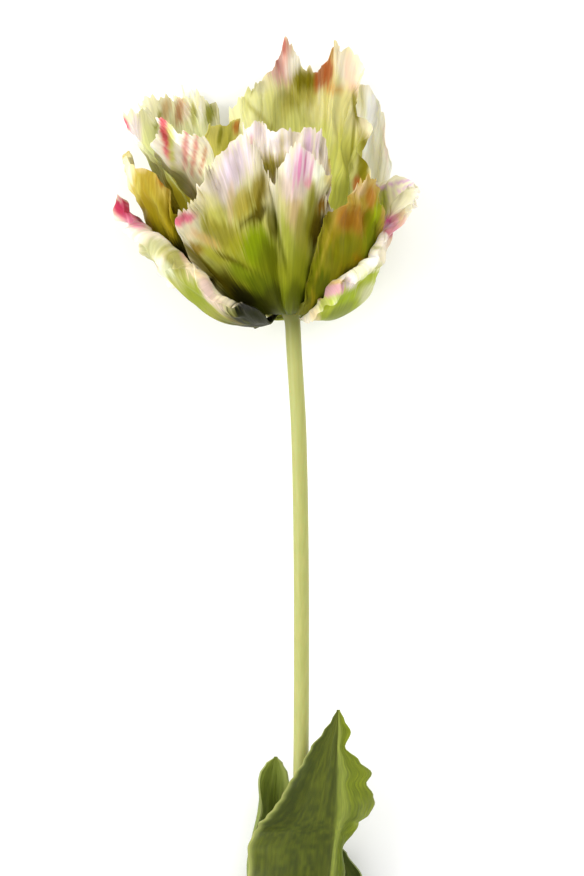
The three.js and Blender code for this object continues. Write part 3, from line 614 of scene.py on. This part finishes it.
# %% Table of the front petals
make_petal(
    "front_petal", "petal_front", "front_petal", facing=-8, ring=2, spine=[(21, -12.5), (46, 19.5), (40, 68)],
    cup=(3.0, 0.85), roll=(0.88, 5), frill=(6, 0.7, 0.3), cells=44, feather=2.2, ruffle=0.9, grid=(620, 46),
    share=[(-0.6, 0.4), (-0.1, 0.2), (0.3, 0)], pleats=[(0.39, 0.1, 3), (0.8, 0.25, -7), (0.22, 0.06, -2)],
    margin=[
        (-15, 14), (-24, 28), (-30, 44), (-34, 57), (-38.5, 68), (-43, 76.5), (-37, 80.5), (-33, 85),
        (-28, 91), (-24, 95), (-19, 99), (-14, 101), (-9, 97), (-2, 87), (1, 92), (8, 98), (15, 95), (23, 91),
        (31, 86), (33, 72), (31, 54), (24, 36),
    ],
    body={
        0: "#4c4a10", 0.25: "#686f19", 0.45: "#838b2b", 0.62: "#9b9d3e", 0.78: "#b7b470", 0.9: "#d3cda9",
        1: "#e3dcc6",
    },
    washes=[
        (-27, 50, 7, 11, 15, "#d0c3c0", 0.75), (-22, 58, 6, 11, 15, "#dacdd4"),
        (-33, 41, 5, 6, 0, "#c6c184", 0.8), (-31, 36, 6, 4, -40, "#afac54", 0.7),
        (-38, 43, 3, 5, 40, "#e0d8b8"), (-24, 43, 1.3, 8, 0, "#c4ad84", 0.6),
        (-20, 42, 3, 6, 10, "#ab9c46", 0.7), (-27, 30, 5, 9, -60, "#857e2a", 0.75),
        (-22, 26, 5, 3, -60, "#a09e3e", 0.7), (-13, 26, 6, 8, -10, "#83941f"),
        (-9, 20, 5, 9, 0, "#6f741e", 0.8), (-39, 31, 2.4, 3.4, -20, "#e2cdb0", 0.9),
        # the second wash below is painted shade under the left lobe's fold
        (-35, 29, 2, 6, -60, "#c8ac74", 0.7), (-37, 25, 2.5, 4, -60, "#8f7420", 0.8),
        # the second wash below is painted shade in a crease
        (-30, 22, 2.2, 7, -60, "#b0af4a", 0.75), (-22, 19.5, 1.1, 7, -62, "#5c5212", 0.7),
        (-19, 15, 3, 6, -60, "#788628", 0.7), (-12, 11, 4, 6, -40, "#5f6a1a", 0.7),
        # both washes below are painted shade, on the petal's lower part in the recess above the left outer
        # petal
        (-26, 12, 3, 7, -45, "#4f4711"), (-19, 6, 4, 9, -65, "#2e2b0b", 0.9),
        (-34, 17, 2.2, 15, -48, "#6d6419", 0.9), (-8, 4, 7, 4, -80, "#52541a"),
        # both washes below are painted shade: the dark line of the cleft and the shadow under the left lobe's
        # fold
        (-5, 30, 1.4, 18, -12, "#62661a", 0.8), (-14, 38, 7, 2.4, -38, "#4e430c"),
        (-13, 48, 4, 8, 15, "#8b7d2c"), (-13, 44, 1, 9, 10, "#6a5c16", 0.6),
        (-8, 34, 2.4, 6, -10, "#5f5c14", 0.8), (-2, 30, 2.2, 12, -9, "#a0a54a", 0.75),
        (1, 40, 3.2, 9, -4, "#b9a27e", 0.8), (-3, 45, 2, 7, -8, "#c3bd84", 0.7), (1, 50, 5, 6, 0, "#d2c1b6"),
        (3.5, 57, 4, 8, 5, "#e6cad6"), (-1.5, 58, 2, 6, -5, "#e2d8d8", 0.7),
        (3, 56, 0.7, 7, 6, "#cf85a8", 0.75), (5, 58, 0.5, 6, 6, "#c9709a", 0.7),
        (7.3, 54, 0.6, 6, 8, "#d38cae", 0.6), (1, 53, 0.5, 5, 6, "#d79cb8", 0.5),
        (6, 50, 1.8, 2.2, 0, "#dc94a4", 0.6), (12, 56, 3, 6, 20, "#e9e9d2", 0.9),
        (13, 50, 3, 4, 60, "#d6d4a8", 0.8), (17, 52, 3, 3, 60, "#cdbf84", 0.8),
        (7, 45, 1.6, 6, 10, "#a7a452", 0.7), (8, 38, 2.6, 9, 6, "#7d7a26"),
        # the second wash below is painted shade in the recess between the ridge and the right olive petal
        (4, 31, 2.5, 9, 0, "#949038", 0.7), (10, 34, 2, 8, 10, "#5f5210", 0.95),
        (13, 43, 2.4, 5, 40, "#8a6a20", 0.95), (19, 47, 2.6, 5, 60, "#8f6228", 0.9),
        (3, 18, 3.5, 8, 0, "#8a8e2e", 0.7), (2, 6, 5, 6, 0, "#646a1c", 0.8),
        (-42.5, 36.8, 5, 2.3, -15, "#dc8698", 1), (-41, 39.5, 1.6, 1.2, 0, "#ecd0cc", 0.7),
    ],
    relief=[
        (2.5, 44, 3.2, 22, 2, 3.2), (-6, 36, 1.3, 16, -12, -2.2), (-12, 40, 4, 7, 20, -4),
        (9.5, 34, 2.2, 11, 10, -2.6), (15, 45, 2.5, 8, 45, -1.6), (-22, 19.5, 1.8, 8, -62, -1.1),
        (-29, 25, 3, 10, -60, 1.8), (-30, 45, 1.4, 10, -25, 0.9), (-21, 54, 1.5, 11, 5, -1),
    ],
)
make_petal(
    "inner_petal", "petal_front_inner", "inner_petal", facing=0, ring=4, spine=[(14, 3), (30, 28), (32, 74)],
    cup=(1.3, 1.1), roll=(0.9, 6), frill=(5, 0.8, 0.7), cells=22, feather=1.9, ruffle=1.2, grid=(320, 40),
    share=[(0, 0.2)],
    margin=[
        (-22, 96), (-17, 100), (-11, 100), (-8, 98), (-4, 99), (1, 98), (6, 99), (10, 98), (14, 98), (17, 93),
        (17, 80),
    ],
    body={0: "#6a6815", 0.55: "#a5a03a", 0.72: "#c9c080", 0.84: "#dcd2ae", 0.93: "#ebe2d2", 1: "#ece2d8"},
    washes=[
        (6.5, 66, 1.6, 8, 3, "#dcbcd8", 0.8), (10, 66, 0.8, 6, 3, "#e6d0e2", 0.6),
        (-10, 57, 6, 6, 0, "#a89e38", 0.9), (-3, 58, 5, 4, 0, "#b5ac50", 0.7),
        (15.5, 62, 1.4, 7, 3, "#d0c04a"), (-14, 71, 3, 3, 0, "#ecdfe4", 0.6),
        (-4, 65, 0.9, 6, 0, "#d8cfa0", 0.6), (1, 63, 0.9, 6, 0, "#dcd4b0", 0.6),
        (-16, 68, 1, 4, 0, "#e0a8b4", 0.5),
    ],
)

# %% [markdown]
# ## The petals behind
# The tall petal at the back ends in two peaks flushed with rose and orange. On the left stand a pale fan
# with brown stripes, a cream petal striped with pink, and a small green one between them.

# %% Table of the petals behind
make_petal(
    "back_petal", "petal_back", "back_petal", facing=171, ring=6, spine=[(11, 13), (42, 28), (29, 105)],
    cup=(1.05, 1.05), roll=(0.88, 5), frill=(6, 1.1, 0.0), cells=44, teeth=1.0, feather=1.2, ruffle=1.7,
    grid=(600, 50), share=[(-0.5, 0.3), (0, 0.1), (0.5, 0.4)],
    margin=[
        (-22, 28), (-28, 44), (-33, 60), (-37, 74), (-38, 83), (-34, 88), (-29, 92), (-26, 97), (-20, 100.6),
        (-15, 101.6), (-11, 100.6), (-8, 98), (-2, 97), (3, 100.3), (7, 103.4), (11, 99.6), (15, 98),
        (19, 96), (25, 93), (30, 90), (29, 80), (27, 66), (24, 50), (18, 32),
    ],
    body={0: "#5c5a14", 0.5: "#c0c352", 0.72: "#dde082", 0.88: "#e9e9a4", 1: "#efe6c4"},
    washes=[
        (17, 82, 8, 13, 0, "#ebe6b0", 0.9), (-9, 83, 8, 12, -15, "#e8e8a2"), (-17, 83, 8, 10, -15, "#f0efbe"),
        (-11, 78, 1.0, 9, -42, "#a9a33a", 0.5), (4, 89, 5, 7, 30, "#b9b044", 0.7),
        (5, 95, 5.5, 5, 0, "#8c8424", 0.95), (-2, 86, 2.4, 7, 10, "#beb350", 0.5),
        (0, 97, 3, 4, 0, "#a0983c", 0.7), (-6, 103, 6, 9, -10, "#dfbcb4", 0.95),
        (-13, 93, 3, 4, -30, "#e3dfc4", 0.8), (-6.5, 104, 0.8, 8, -15, "#b98078", 0.7),
        (-3, 109, 1.4, 4, 0, "#c98478"), (1.5, 103, 2.6, 7, 20, "#e9e4da", 0.9),
        (12, 97, 2, 6, 12, "#b0683c"), (15, 98, 2, 6, 5, "#b9724a"), (16, 107, 1.6, 4, 0, "#b08a4a", 0.8),
        (20, 101, 2.2, 8, -5, "#f4ebdc", 0.95), (24, 97, 2.4, 8, -8, "#edd2c0"),
        (17, 91, 3, 2, 0, "#d9a868", 0.6), (28.5, 61, 2.2, 10, 0, "#989020", 0.95),
        (25.5, 84, 1.2, 8, -6, "#989230"), (30, 87, 2.2, 10, -6, "#f2ecd0", 0.95),
        (22, 66, 4.5, 9, 0, "#e4e388"), (26, 52, 1.5, 3, 0, "#c86a2c", 0.8),
        (12, 72, 5, 6, 0, "#d6da80", 0.6), (24.5, 70, 0.7, 10, 5, "#8f8a24", 0.7),
    ],
)
make_petal(
    "left_fan_petal", "petal_left_back", "back_petal", facing=-105, ring=4,
    spine=[(16, 4), (44, 18), (65, 90)], cup=(0.65, 0.9), roll=(0.9, 5), frill=(4, 1.3, 0.5), cells=26,
    feather=1.9, ruffle=1.5, grid=(400, 46), share=[(-0.5, 0.4), (0, 0.1), (0.5, 0.3)],
    pleats=[(0.1, 0.05, 1.5), (-0.1, 0.05, 1.5)],
    margin=[(-57, 97), (-47, 100), (-36, 101), (-25, 99), (-13, 99), (-3, 97), (5, 96), (13, 94), (18, 86)],
    body={0: "#4f4d14", 0.5: "#9a973a", 0.72: "#d3d888", 0.88: "#ebeebe", 1: "#f4f0d4"},
    washes=[
        (-57, 68, 4, 8, 0, "#e3e7ac", 0.7), (-63, 73, 2.2, 8, -5, "#e6dade", 0.8),
        (-54, 78, 1, 5, 15, "#9a9c3c", 0.8), (-51, 83, 2, 5, 10, "#cdb286", 0.8),
        (-46, 82, 1.6, 6, 8, "#c39a76"), (-43, 83, 1.2, 5, 5, "#e8dac4"), (-40, 82, 1, 5, 0, "#b9b768", 0.8),
        (-37, 83, 0.9, 6, 0, "#f8f4e6"), (-33.5, 81, 2.2, 5, 0, "#9c9d3a", 0.9),
        (-66.5, 72, 1.4, 6, -8, "#d9647c", 0.95), (-46, 42, 10, 13, -30, "#b0a338", 0.95),
        (-52, 60, 4, 6, 0, "#bdbc66", 0.6),
    ],
)
make_petal(
    "striped_petal", "petal_left_inner", "striped_petal", facing=-58, ring=5,
    spine=[(12, 5), (26, 38), (56, 74)], cup=(2.2, 1.0), roll=(0.86, 6), frill=(3, 0.6, 0.1), cells=22,
    teeth=1.0, feather=1.9, ruffle=0.8, grid=(320, 46), share=[(-0.5, 0.1), (0.5, 0.15)],
    margin=[(-36, 87), (-33, 92), (-18, 97), (-8, 102), (1, 104), (3, 99), (7, 98), (9, 95), (11, 91)],
    body={0: "#6c6a1c", 0.45: "#c0ba5a", 0.62: "#e4e0a8", 0.9: "#f4eed4", 1: "#faf3e4"},
    washes=[
        (-50.5, 71, 1.5, 8, -6, "#df7078", 0.95), (-48, 66, 1.3, 9, -3, "#d3d878", 0.8),
        (-45, 65, 1.3, 9, 0, "#faf5ea", 0.95), (-42, 65, 1.3, 8, 5, "#e09a96"),
        (-40, 68, 0.8, 6, 5, "#fbf3ea", 0.9), (-38.5, 62, 0.9, 7, 8, "#d98f84", 0.8),
        (-36.5, 58, 1.2, 7, 12, "#f2ead0", 0.9), (-35, 60, 0.7, 6, 14, "#c98a66", 0.75),
        (-33, 57, 1.2, 6, 15, "#eceec8", 0.9), (-42, 40, 7, 7, -30, "#b8ab40", 0.95),
        (-45, 53, 3, 5, -8, "#dedfa4", 0.8),
    ],
)
make_petal(
    "left_middle_petal", "petal_left_middle", "back_petal", facing=-130, ring=5,
    spine=[(14, 8), (38, 26), (38, 78)], cup=(1.2, 1.2), roll=(0.86, 6), frill=(2, 0.5, 0.1), cells=8,
    teeth=0.8, feather=0.9, ruffle=1.0, grid=(150, 40), share=[(-0.5, 0.2), (0.5, 0.2)],
    margin=[(-11, 101), (-4, 100), (3, 99), (9, 99)],
    body={0: "#5c5a18", 0.5: "#9fa03a", 0.75: "#c9c858", 0.9: "#d6d070", 1: "#dcd68a"},
    washes=[(-29, 72, 1.2, 5, 10, "#8d8c2a", 0.8), (-22, 76, 1.8, 2.4, 30, "#c98a4a", 0.9)],
)

# %% [markdown]
# ## Leaves
# A tulip's leaf is a waxy strap that clasps the stem at its base and folds into a gutter along its keel.
# It is dark green with a grey bloom, and fine veins run along it side by side.

# %% The stem's line and the leaf's formula
STEM_LINE = [
    (0, 0.2, 0), (-50, 2.8, -1), (-100, 3.7, -6), (-150, 3.8, -13.5), (-200, 3.5, -22), (-250, 3.1, -30.5),
    (-300, 2.8, -38.5), (-350, 2.6, -45.6),
]
LINE_END = STEM_LINE[-1][0]
# the colour of the painted highlight bands along the leaves
HIGHLIGHT_BAND_COLOUR = "#a3ab5c"


def on_stem(along):
    """The stem's centre at a height along the bloom's axis."""
    along = np.asarray(along, float)
    _, side, up = through_rows(STEM_LINE, along / LINE_END)
    return np.stack([side, along, up], axis=1)


def leaf_shape(leaf, u, v):
    along, side, up, face, before, after = through_rows(leaf["path"], v)
    left = along_list([(at, wide) for at, wide, _ in leaf["edge"]], along)
    right = along_list([(at, wide) for at, _, wide in leaf["edge"]], along)
    width = np.where(u < 0, left, right)
    radius = np.where(u < 0, before, after)
    facing = np.radians(face)
    turn = facing + u * width / radius
    waves, height = leaf["waves"]
    lift = along_list(leaf["curl"], along) * rise(-u, 0.55, 0.45)
    loose = rise(np.abs(u), 0.4, 0.6) * smooth(v / 0.3) * smooth((1 - v) / 0.15)
    out = lift + loose * height * np.sin(2 * np.pi * waves * v + 2 * u)
    out += 0.5 * wander_over(u * 3, v * 14, 2) * smooth(v / 0.2) * smooth((1 - v) / 0.1)
    out -= 0.5 * bump(u, 0, 0.07) * smooth((1 - v) / 0.1)
    out += 0.06 * wander(u * 30, 4)
    points = on_stem(along)
    points[:, 0] += side + radius * (np.sin(turn) - np.sin(facing)) + out * np.sin(turn)
    points[:, 2] += up + radius * (np.cos(turn) - np.cos(facing)) + out * np.cos(turn)
    return points


def leaf_tint(leaf, u, v, _points):
    base, light, edge = (np.array(linear(hue)) for hue in leaf["greens"])
    streak = wander(u * 26 + 0.6 * wander(v * 6, 3), 5) + 0.5 * wander(u * 70, 6)
    cloud, speck = wander_over(u * 2.5, v * 7, 8), wander_over(u * 22, v * 60, 9)
    tint = mix(base, light, np.clip(0.35 + 0.12 * streak + 0.3 * cloud + 0.3 * speck, 0, 1)[:, None])
    # painted light and shade: the halves of the leaf on either side of the keel are scaled apart, so one half
    # is painted darker and the other lighter
    tint *= mix(*leaf["sides"], rise(u, -0.05, 0.15))[:, None]
    # lighter bands along the leaf: painted highlights on the keel and on a rolled margin
    for centre, wide, strength in leaf["bands"]:
        tint = mix(tint, np.array(linear(HIGHLIGHT_BAND_COLOUR)), (strength * bump(u, centre, wide))[:, None])
    return mix(tint, edge, (0.8 * rise(np.abs(u), 0.965, 0.03))[:, None])


# %% Waxy leaf material
VEINS_PER_MM = (0.9, 0.14, 1)  # across the leaf and along it


def make_leaf_skin():
    material, tree, skin = new_material("waxy tulip leaf")
    _, veins, colour = veined(tree, VEINS_PER_MM, 3.0, 0.5, 0.86)
    plug(tree, skin, {
        "Base Color": colour, "Normal": fine_bump(tree, veins, 0.4, 0.3), "Roughness": 0.5, "IOR": 1.42,
        "Specular IOR Level": 0.3, "Subsurface Weight": 0.1, "Subsurface Radius": (0.4, 1.0, 0.2),
        "Subsurface Scale": 1.0 * MM,
    })
    return material


leaf_skin = make_leaf_skin()
print("leaf material:", len(leaf_skin.node_tree.nodes), "nodes")

# %% [markdown]
# Each row of a leaf's path gives a height along the bloom's axis, the keel's place to the side of the stem
# and above it, the way it faces in degrees, and the gutter's radius on both sides of the keel. The edge
# gives heights and both half widths, and the curl says how far the first margin lifts.
# The sides paint one half of a leaf in shade and the other lighter, and the bands are painted highlights.

# %% Make the leaves
LEAF_THICKNESS = 0.8


def make_leaf(name, node, grid, **leaf):
    """A leaf from its numbers. Most margins have no curl."""
    leaf = {"curl": [(-400, 0), (0, 0)], **leaf}
    leaf["half_width"] = max(max(left, right) for _, left, right in leaf["edge"])
    piece = blade(name, leaf, grid, LEAF_THICKNESS, leaf_shape, leaf_tint, thin_edge=0.9, dense_tip=1.0)
    dress(piece, leaf_skin, "leaf", node)


# The front leaf's left half is painted in shade and its right half painted lighter; its bands are painted
# highlights on the keel and the rolled left margin.
make_leaf(
    "front_leaf", "leaf_front", grid=(90, 160), waves=(6, 1.2), greens=("#3e4806", "#636c10", "#a9ab62"),
    sides=(0.8, 1.9), bands=[(0.16, 0.14, 0.3), (-0.97, 0.04, 0.4)],
    curl=[(-306, 0), (-215, 0), (-203, 5), (-192, 6), (-180, 1), (-159, 0)],
    path=[
        (-306, 1.05, 3.95, 15, 4.1, 4.1), (-292, 2.2, 5.6, 20, 6, 5.5), (-270, 6, 8.5, 24, 12, 7),
        (-248, 9.5, 11, 26, 24, 7), (-225, 12.2, 12.5, 22, 38, 8), (-210, 13.6, 11.8, 18, 40, 13),
        (-203, 14, 11.4, 16, 40, 20), (-182, 14.4, 10, 10, 36, 24), (-159, 14.8, 9, 6, 30, 22),
    ],
    edge=[
        (-306, 5.6, 5.6), (-290, 10, 8), (-270, 19, 11), (-245, 29, 11), (-225, 35, 7), (-215, 35, 6),
        (-209, 32.5, 8), (-205, 29.5, 12), (-202, 26, 19.5), (-198, 23, 20.5), (-194, 20.5, 17),
        (-189, 18.5, 12.6), (-185, 16.5, 16.4), (-180, 13.5, 10), (-174, 10.5, 3.2), (-168, 6, 5.4),
        (-163, 2.6, 2.6), (-159, 0.4, 0.4),
    ],
)
make_leaf(
    "left_leaf", "leaf_left", grid=(60, 110), waves=(4, 0.6), greens=("#4f5c16", "#747f32", "#99a060"),
    sides=(1.25, 1.3), bands=[(-0.8, 0.22, 0.55)],
    path=[
        (-319, -2.3, -3.35, 215, 4.1, 4.1), (-305, -3.7, -4.9, 213, 6, 6), (-284, -7, -9, 204, 9, 9),
        (-256, -13, -17.4, 198, 13, 13), (-228, -14.3, -17.6, 192, 9, 9), (-203, -11.5, -14, 187, 7, 7),
        (-179, -10.2, -10, 182, 6, 6),
    ],
    edge=[
        (-319, 5.6, 5.6), (-300, 8, 9), (-280, 10, 14), (-255, 12, 18), (-228, 10, 18), (-203, 7.5, 14.2),
        (-190, 7, 10.4), (-186, 6, 7.6), (-182, 3.2, 4.2), (-179, 0.4, 0.4),
    ],
)
make_leaf(
    "right_leaf", "leaf_right", grid=(60, 100), waves=(4, 0.9), greens=("#3a450e", "#525e1e", "#87905a"),
    sides=(1.0, 1.0), bands=[(0.0, 0.06, 0.2)],
    path=[
        (-334, 2, -3.5, 150, 4.1, 4.1), (-318, 4.6, -6.2, 148, 7.5, 7.5), (-298, 9.5, -9.7, 152, 12, 12),
        (-268, 17, -14.6, 160, 22, 20), (-240, 18.8, -17.6, 164, 24, 22), (-214, 13.5, -16.8, 168, 20, 20),
    ],
    edge=[
        (-334, 5.6, 5.6), (-318, 8, 8), (-298, 13, 11), (-270, 17, 14), (-240, 13.5, 11.5), (-228, 9, 8.5),
        (-219, 4.6, 5), (-214, 0.4, 0.4),
    ],
)

# %% [markdown]
# ## Stem
# The stem is a smooth, juicy stalk that droops from the bloom down to the surface. A curve with a bevel
# follows its line, and each point of the curve carries its own radius, so that the stalk swells into the
# receptacle that the petals sit on.

# %% Stem material and stem
CUT_END = -355  # where the stem was cut, along the bloom's axis from its base
STEM_DROOP = 0.12  # how steeply the last of the stem still falls


def make_stem_skin():
    material, tree, skin = new_material("smooth tulip stem")
    place = add_node(tree, "TexCoord", "Object")
    along = add_node(tree, "SeparateXYZ", "Y", {"Vector": place})
    near_bloom = spread(tree, along, -85 * MM, -64 * MM, 0.0, 1.0)
    grain = noise(tree, place, (900, 45, 900))
    flesh = between(tree, grain, "#989a50", "#b2b36a")
    plug(tree, skin, {
        "Base Color": between(tree, near_bloom, flesh, "#7e8034"), "Normal": fine_bump(tree, grain, 0.3, 0.2),
        "Roughness": 0.42, "IOR": 1.42, "Subsurface Weight": 0.2, "Subsurface Scale": 2.0 * MM,
    })
    return material


def neaten(crease, weld=0.0):
    """Turns the active mesh's faces outwards and smooths all but creases sharper than so many degrees."""
    bpy.ops.object.mode_set(mode="EDIT")
    bpy.ops.mesh.select_all(action="SELECT")
    if weld:
        bpy.ops.mesh.remove_doubles(threshold=weld)
    bpy.ops.mesh.normals_make_consistent(inside=False)
    bpy.ops.object.mode_set(mode="OBJECT")
    bpy.ops.object.shade_smooth_by_angle(angle=math.radians(crease))


def stalk(name, centres, radii, sides):
    """A round bar along a line of points, in the bloom's frame, as a mesh with closed ends."""
    line = bpy.data.curves.new(name, "CURVE")
    line.dimensions = "3D"
    line.bevel_depth = 1.0 * MM
    line.bevel_resolution = sides
    line.use_fill_caps = True
    spline = line.splines.new("POLY")
    spline.points.add(len(centres) - 1)
    for point, (x, y, z), radius in zip(spline.points, centres, radii):
        point.co = (x * MM, (y - REST_ALONG) * MM, (z + AXIS_HEIGHT) * MM, 1)
        point.radius = radius
    piece = bpy.data.objects.new(name, line)
    bpy.context.scene.collection.objects.link(piece)
    only_selected(piece)
    bpy.ops.object.convert(target="MESH")
    neaten(50, weld=1e-6)
    return bpy.context.object


def stem_line():
    heights = np.concatenate([np.linspace(CUT_END, -6, 118), np.linspace(-4, RECEPTACLE_TOP, 12)])
    past = np.minimum(0, heights - LINE_END)
    centres = on_stem(np.minimum(heights - past, 0))
    centres[:, 1] = heights
    centres[:, 2] += past * STEM_DROOP
    centres[:, 0] *= smooth(-heights / 6)
    radius = mix(3.1, 4.5, bump(heights, 0.5, 2.2)) + 0.25 * rise(-heights, 280, 60)
    return centres, np.where(heights >= 0, cone_radius(heights), radius)


dress(stalk("stem_stalk", *stem_line(), 6), make_stem_skin(), "stem", "stem")

# %% [markdown]
# ## Pistil and stamens
# Deep inside the bloom stand a green ovary with a three-lobed stigma on top and six stamens. A stamen is
# a thin filament that carries a dark anther dusted with pollen. One is modelled, and all six are copies
# with their own meshes, turned round the axis.

# %% Ovary and stigma
OVARY_FROM, OVARY_TO = 10.9, 28.0


def plain_finish(name, low, high, grain_mm, roughness, depth_mm):
    """A finish whose colour wavers between two tones at the size of its grain."""
    material, tree, skin = new_material(name)
    grain = noise(tree, add_node(tree, "TexCoord", "Object"), [1 / (grain_mm * MM)] * 3)
    plug(tree, skin, {
        "Base Color": between(tree, grain, low, high), "Normal": fine_bump(tree, grain, 0.5, depth_mm),
        "Roughness": roughness, "IOR": 1.42,
    })
    return material


def lobed(name, levels, depth, segments=48):
    """A bar with three lobes on the bloom's axis: levels are heights and radii from its foot to its top."""
    bpy.ops.mesh.primitive_uv_sphere_add(segments=segments, ring_count=32, radius=1)
    piece = bpy.context.object
    piece.name = piece.data.name = name
    x, y, z = points_of(piece).T
    heights, radii = np.array(levels, float).T
    steps = np.linspace(0, 1, len(levels))
    up = (np.clip(z, -1, 1) + 1) / 2
    angle = np.arctan2(x, y)
    rim = np.sqrt(np.clip(1 - z * z, 0, 1))
    radius = np.interp(up, steps, radii) * rim**0.45 * (1 + depth * np.cos(3 * angle))
    h = np.interp(up, steps, heights)
    place_points(piece, np.stack([radius * np.sin(angle), h, radius * np.cos(angle)], axis=1))
    only_selected(piece)
    neaten(60)
    return piece


ovary = lobed("ovary_body", [(OVARY_FROM, 1.8), (16, 2.3), (21, 2.4), (25, 2.1), (OVARY_TO, 1.7)], 0.09)
dress(ovary, plain_finish("smooth green ovary", "#a3b060", "#c0cc86", 1.2, 0.5, 0.1), "ovary", "ovary")
stigma = lobed("stigma_lobes", [(28.3, 1.9), (29.2, 3.3), (30.4, 3.8), (31.4, 2.4)], 0.35, 72)
dress(stigma, plain_finish("velvety stigma", "#d8cc88", "#efe6b8", 0.25, 0.85, 0.15), "stigma", "stigma")

# %% Stamens
STAMENS = 6
filament_finish = plain_finish("pale filament", "#c3c98a", "#dcdfb0", 0.8, 0.5, 0.05)
anther_finish = plain_finish("pollen-dusted anther", "#241820", "#55404c", 0.3, 0.9, 0.2)


def turned_copy(piece, name, angle):
    """A copy with its own mesh, turned round the bloom's axis."""
    copy = piece.copy()
    copy.data = piece.data.copy()
    copy.name = copy.data.name = name
    bpy.context.scene.collection.objects.link(copy)
    points = points_of(copy)
    x, z = points[:, 0].copy(), points[:, 2] - AXIS_HEIGHT * MM
    points[:, 0] = x * math.cos(angle) + z * math.sin(angle)
    points[:, 2] = z * math.cos(angle) - x * math.sin(angle) + AXIS_HEIGHT * MM
    copy.data.vertices.foreach_set("co", points.ravel())
    return copy


filament_line = [(0, h, r) for r, h in ((2.75, OVARY_FROM), (3.4, 12.8), (4.2, 15), (5.1, 17.8), (6, 20.5))]
first_filament = stalk("filament_first", filament_line, [0.55, 0.52, 0.48, 0.44, 0.4], 4)
steps = np.linspace(0, 1, 14)
anther_line = [(0, mix(20.9, 33, t), 6.15 + 2.75 * t - 0.35 * math.sin(math.pi * t)) for t in steps]
anther_radii = [0.5 + 0.85 * math.sin(math.pi * min(1, t * 0.9 + 0.05)) for t in steps]
first_anther = stalk("anther_first", anther_line, anther_radii, 4)
for i in range(STAMENS):
    angle = (i + 0.5) / STAMENS * 2 * math.pi
    thread = turned_copy(first_filament, f"filament_thread_{i + 1}", angle)
    dress(thread, filament_finish, "filament", f"filament_{i + 1}")
    head = turned_copy(first_anther, f"anther_head_{i + 1}", angle)
    dress(head, anther_finish, "anther", f"anther_{i + 1}")
for pattern in (first_filament, first_anther):
    bpy.data.objects.remove(pattern)
print("stamens:", STAMENS)

# %% [markdown]
# ## Floor, light and camera
# The flower lies on a plain pale floor. Two wide soft lights, from the upper right and from the left, and
# a bright, even surrounding keep the shadows faint. The camera looks straight down.

# %% Floor
bpy.ops.mesh.primitive_plane_add(size=6, location=(0, -0.1, 0))
floor = bpy.context.object
floor.name = "pale_floor"
paper, tree, skin = new_material("matt white paper")
fibres = add_node(tree, "TexNoise", "Fac", {"Scale": 400.0, "Detail": 2.0})
plug(tree, skin, {"Base Color": between(tree, fibres, "#f8f8f6", "#fbfbfa"), "Roughness": 0.9})
floor.data.materials.append(paper)

# %% Light
world = bpy.context.scene.world or bpy.data.worlds.new("studio")
bpy.context.scene.world = world
world.use_nodes = True
plug(world.node_tree, world.node_tree.nodes["Background"], {"Color": (1, 1, 1, 1), "Strength": 0.92})
bpy.context.scene.view_settings.view_transform = "Standard"  # colours come out as they were picked
BLOOM_CENTRE = Vector((0, -0.03, 0.05))
SOFTBOX_SIDE = 1.0


def soft_light(name, place, power):
    """A wide square light that looks at the bloom."""
    bpy.ops.object.light_add(type="AREA", location=place)
    lamp = bpy.context.object
    lamp.name = name
    lamp.data.size = SOFTBOX_SIDE
    lamp.data.energy = power
    lamp.rotation_euler = (BLOOM_CENTRE - lamp.location).to_track_quat("-Z", "Y").to_euler()


soft_light("key_softbox", (0.6, 0.6, 1.35), 9)
soft_light("fill_softbox", (-1.0, -0.1, 0.8), 11)
print("lights: 2, and white all round")

# %% Camera
PICTURE_WIDE = 584 * 0.4 * MM  # what the picture's width covers at the bloom's axis
PICTURE_MIDDLE = -50  # where the camera looks, along the bloom's axis from its base
STAND_OFF = 2.5
SENSOR_MM = 36
lens_data = bpy.data.cameras.new("overhead_camera")
camera = bpy.data.objects.new("overhead_camera", lens_data)
bpy.context.scene.collection.objects.link(camera)
camera.location = (0, (PICTURE_MIDDLE - REST_ALONG) * MM, STAND_OFF + AXIS_HEIGHT * MM)
lens_data.sensor_fit = "HORIZONTAL"
lens_data.sensor_width = SENSOR_MM
lens_data.lens = SENSOR_MM * STAND_OFF / PICTURE_WIDE
lens_data.clip_end = 20
bpy.context.scene.camera = camera
print("focal length", round(lens_data.lens), "mm, looking straight down")
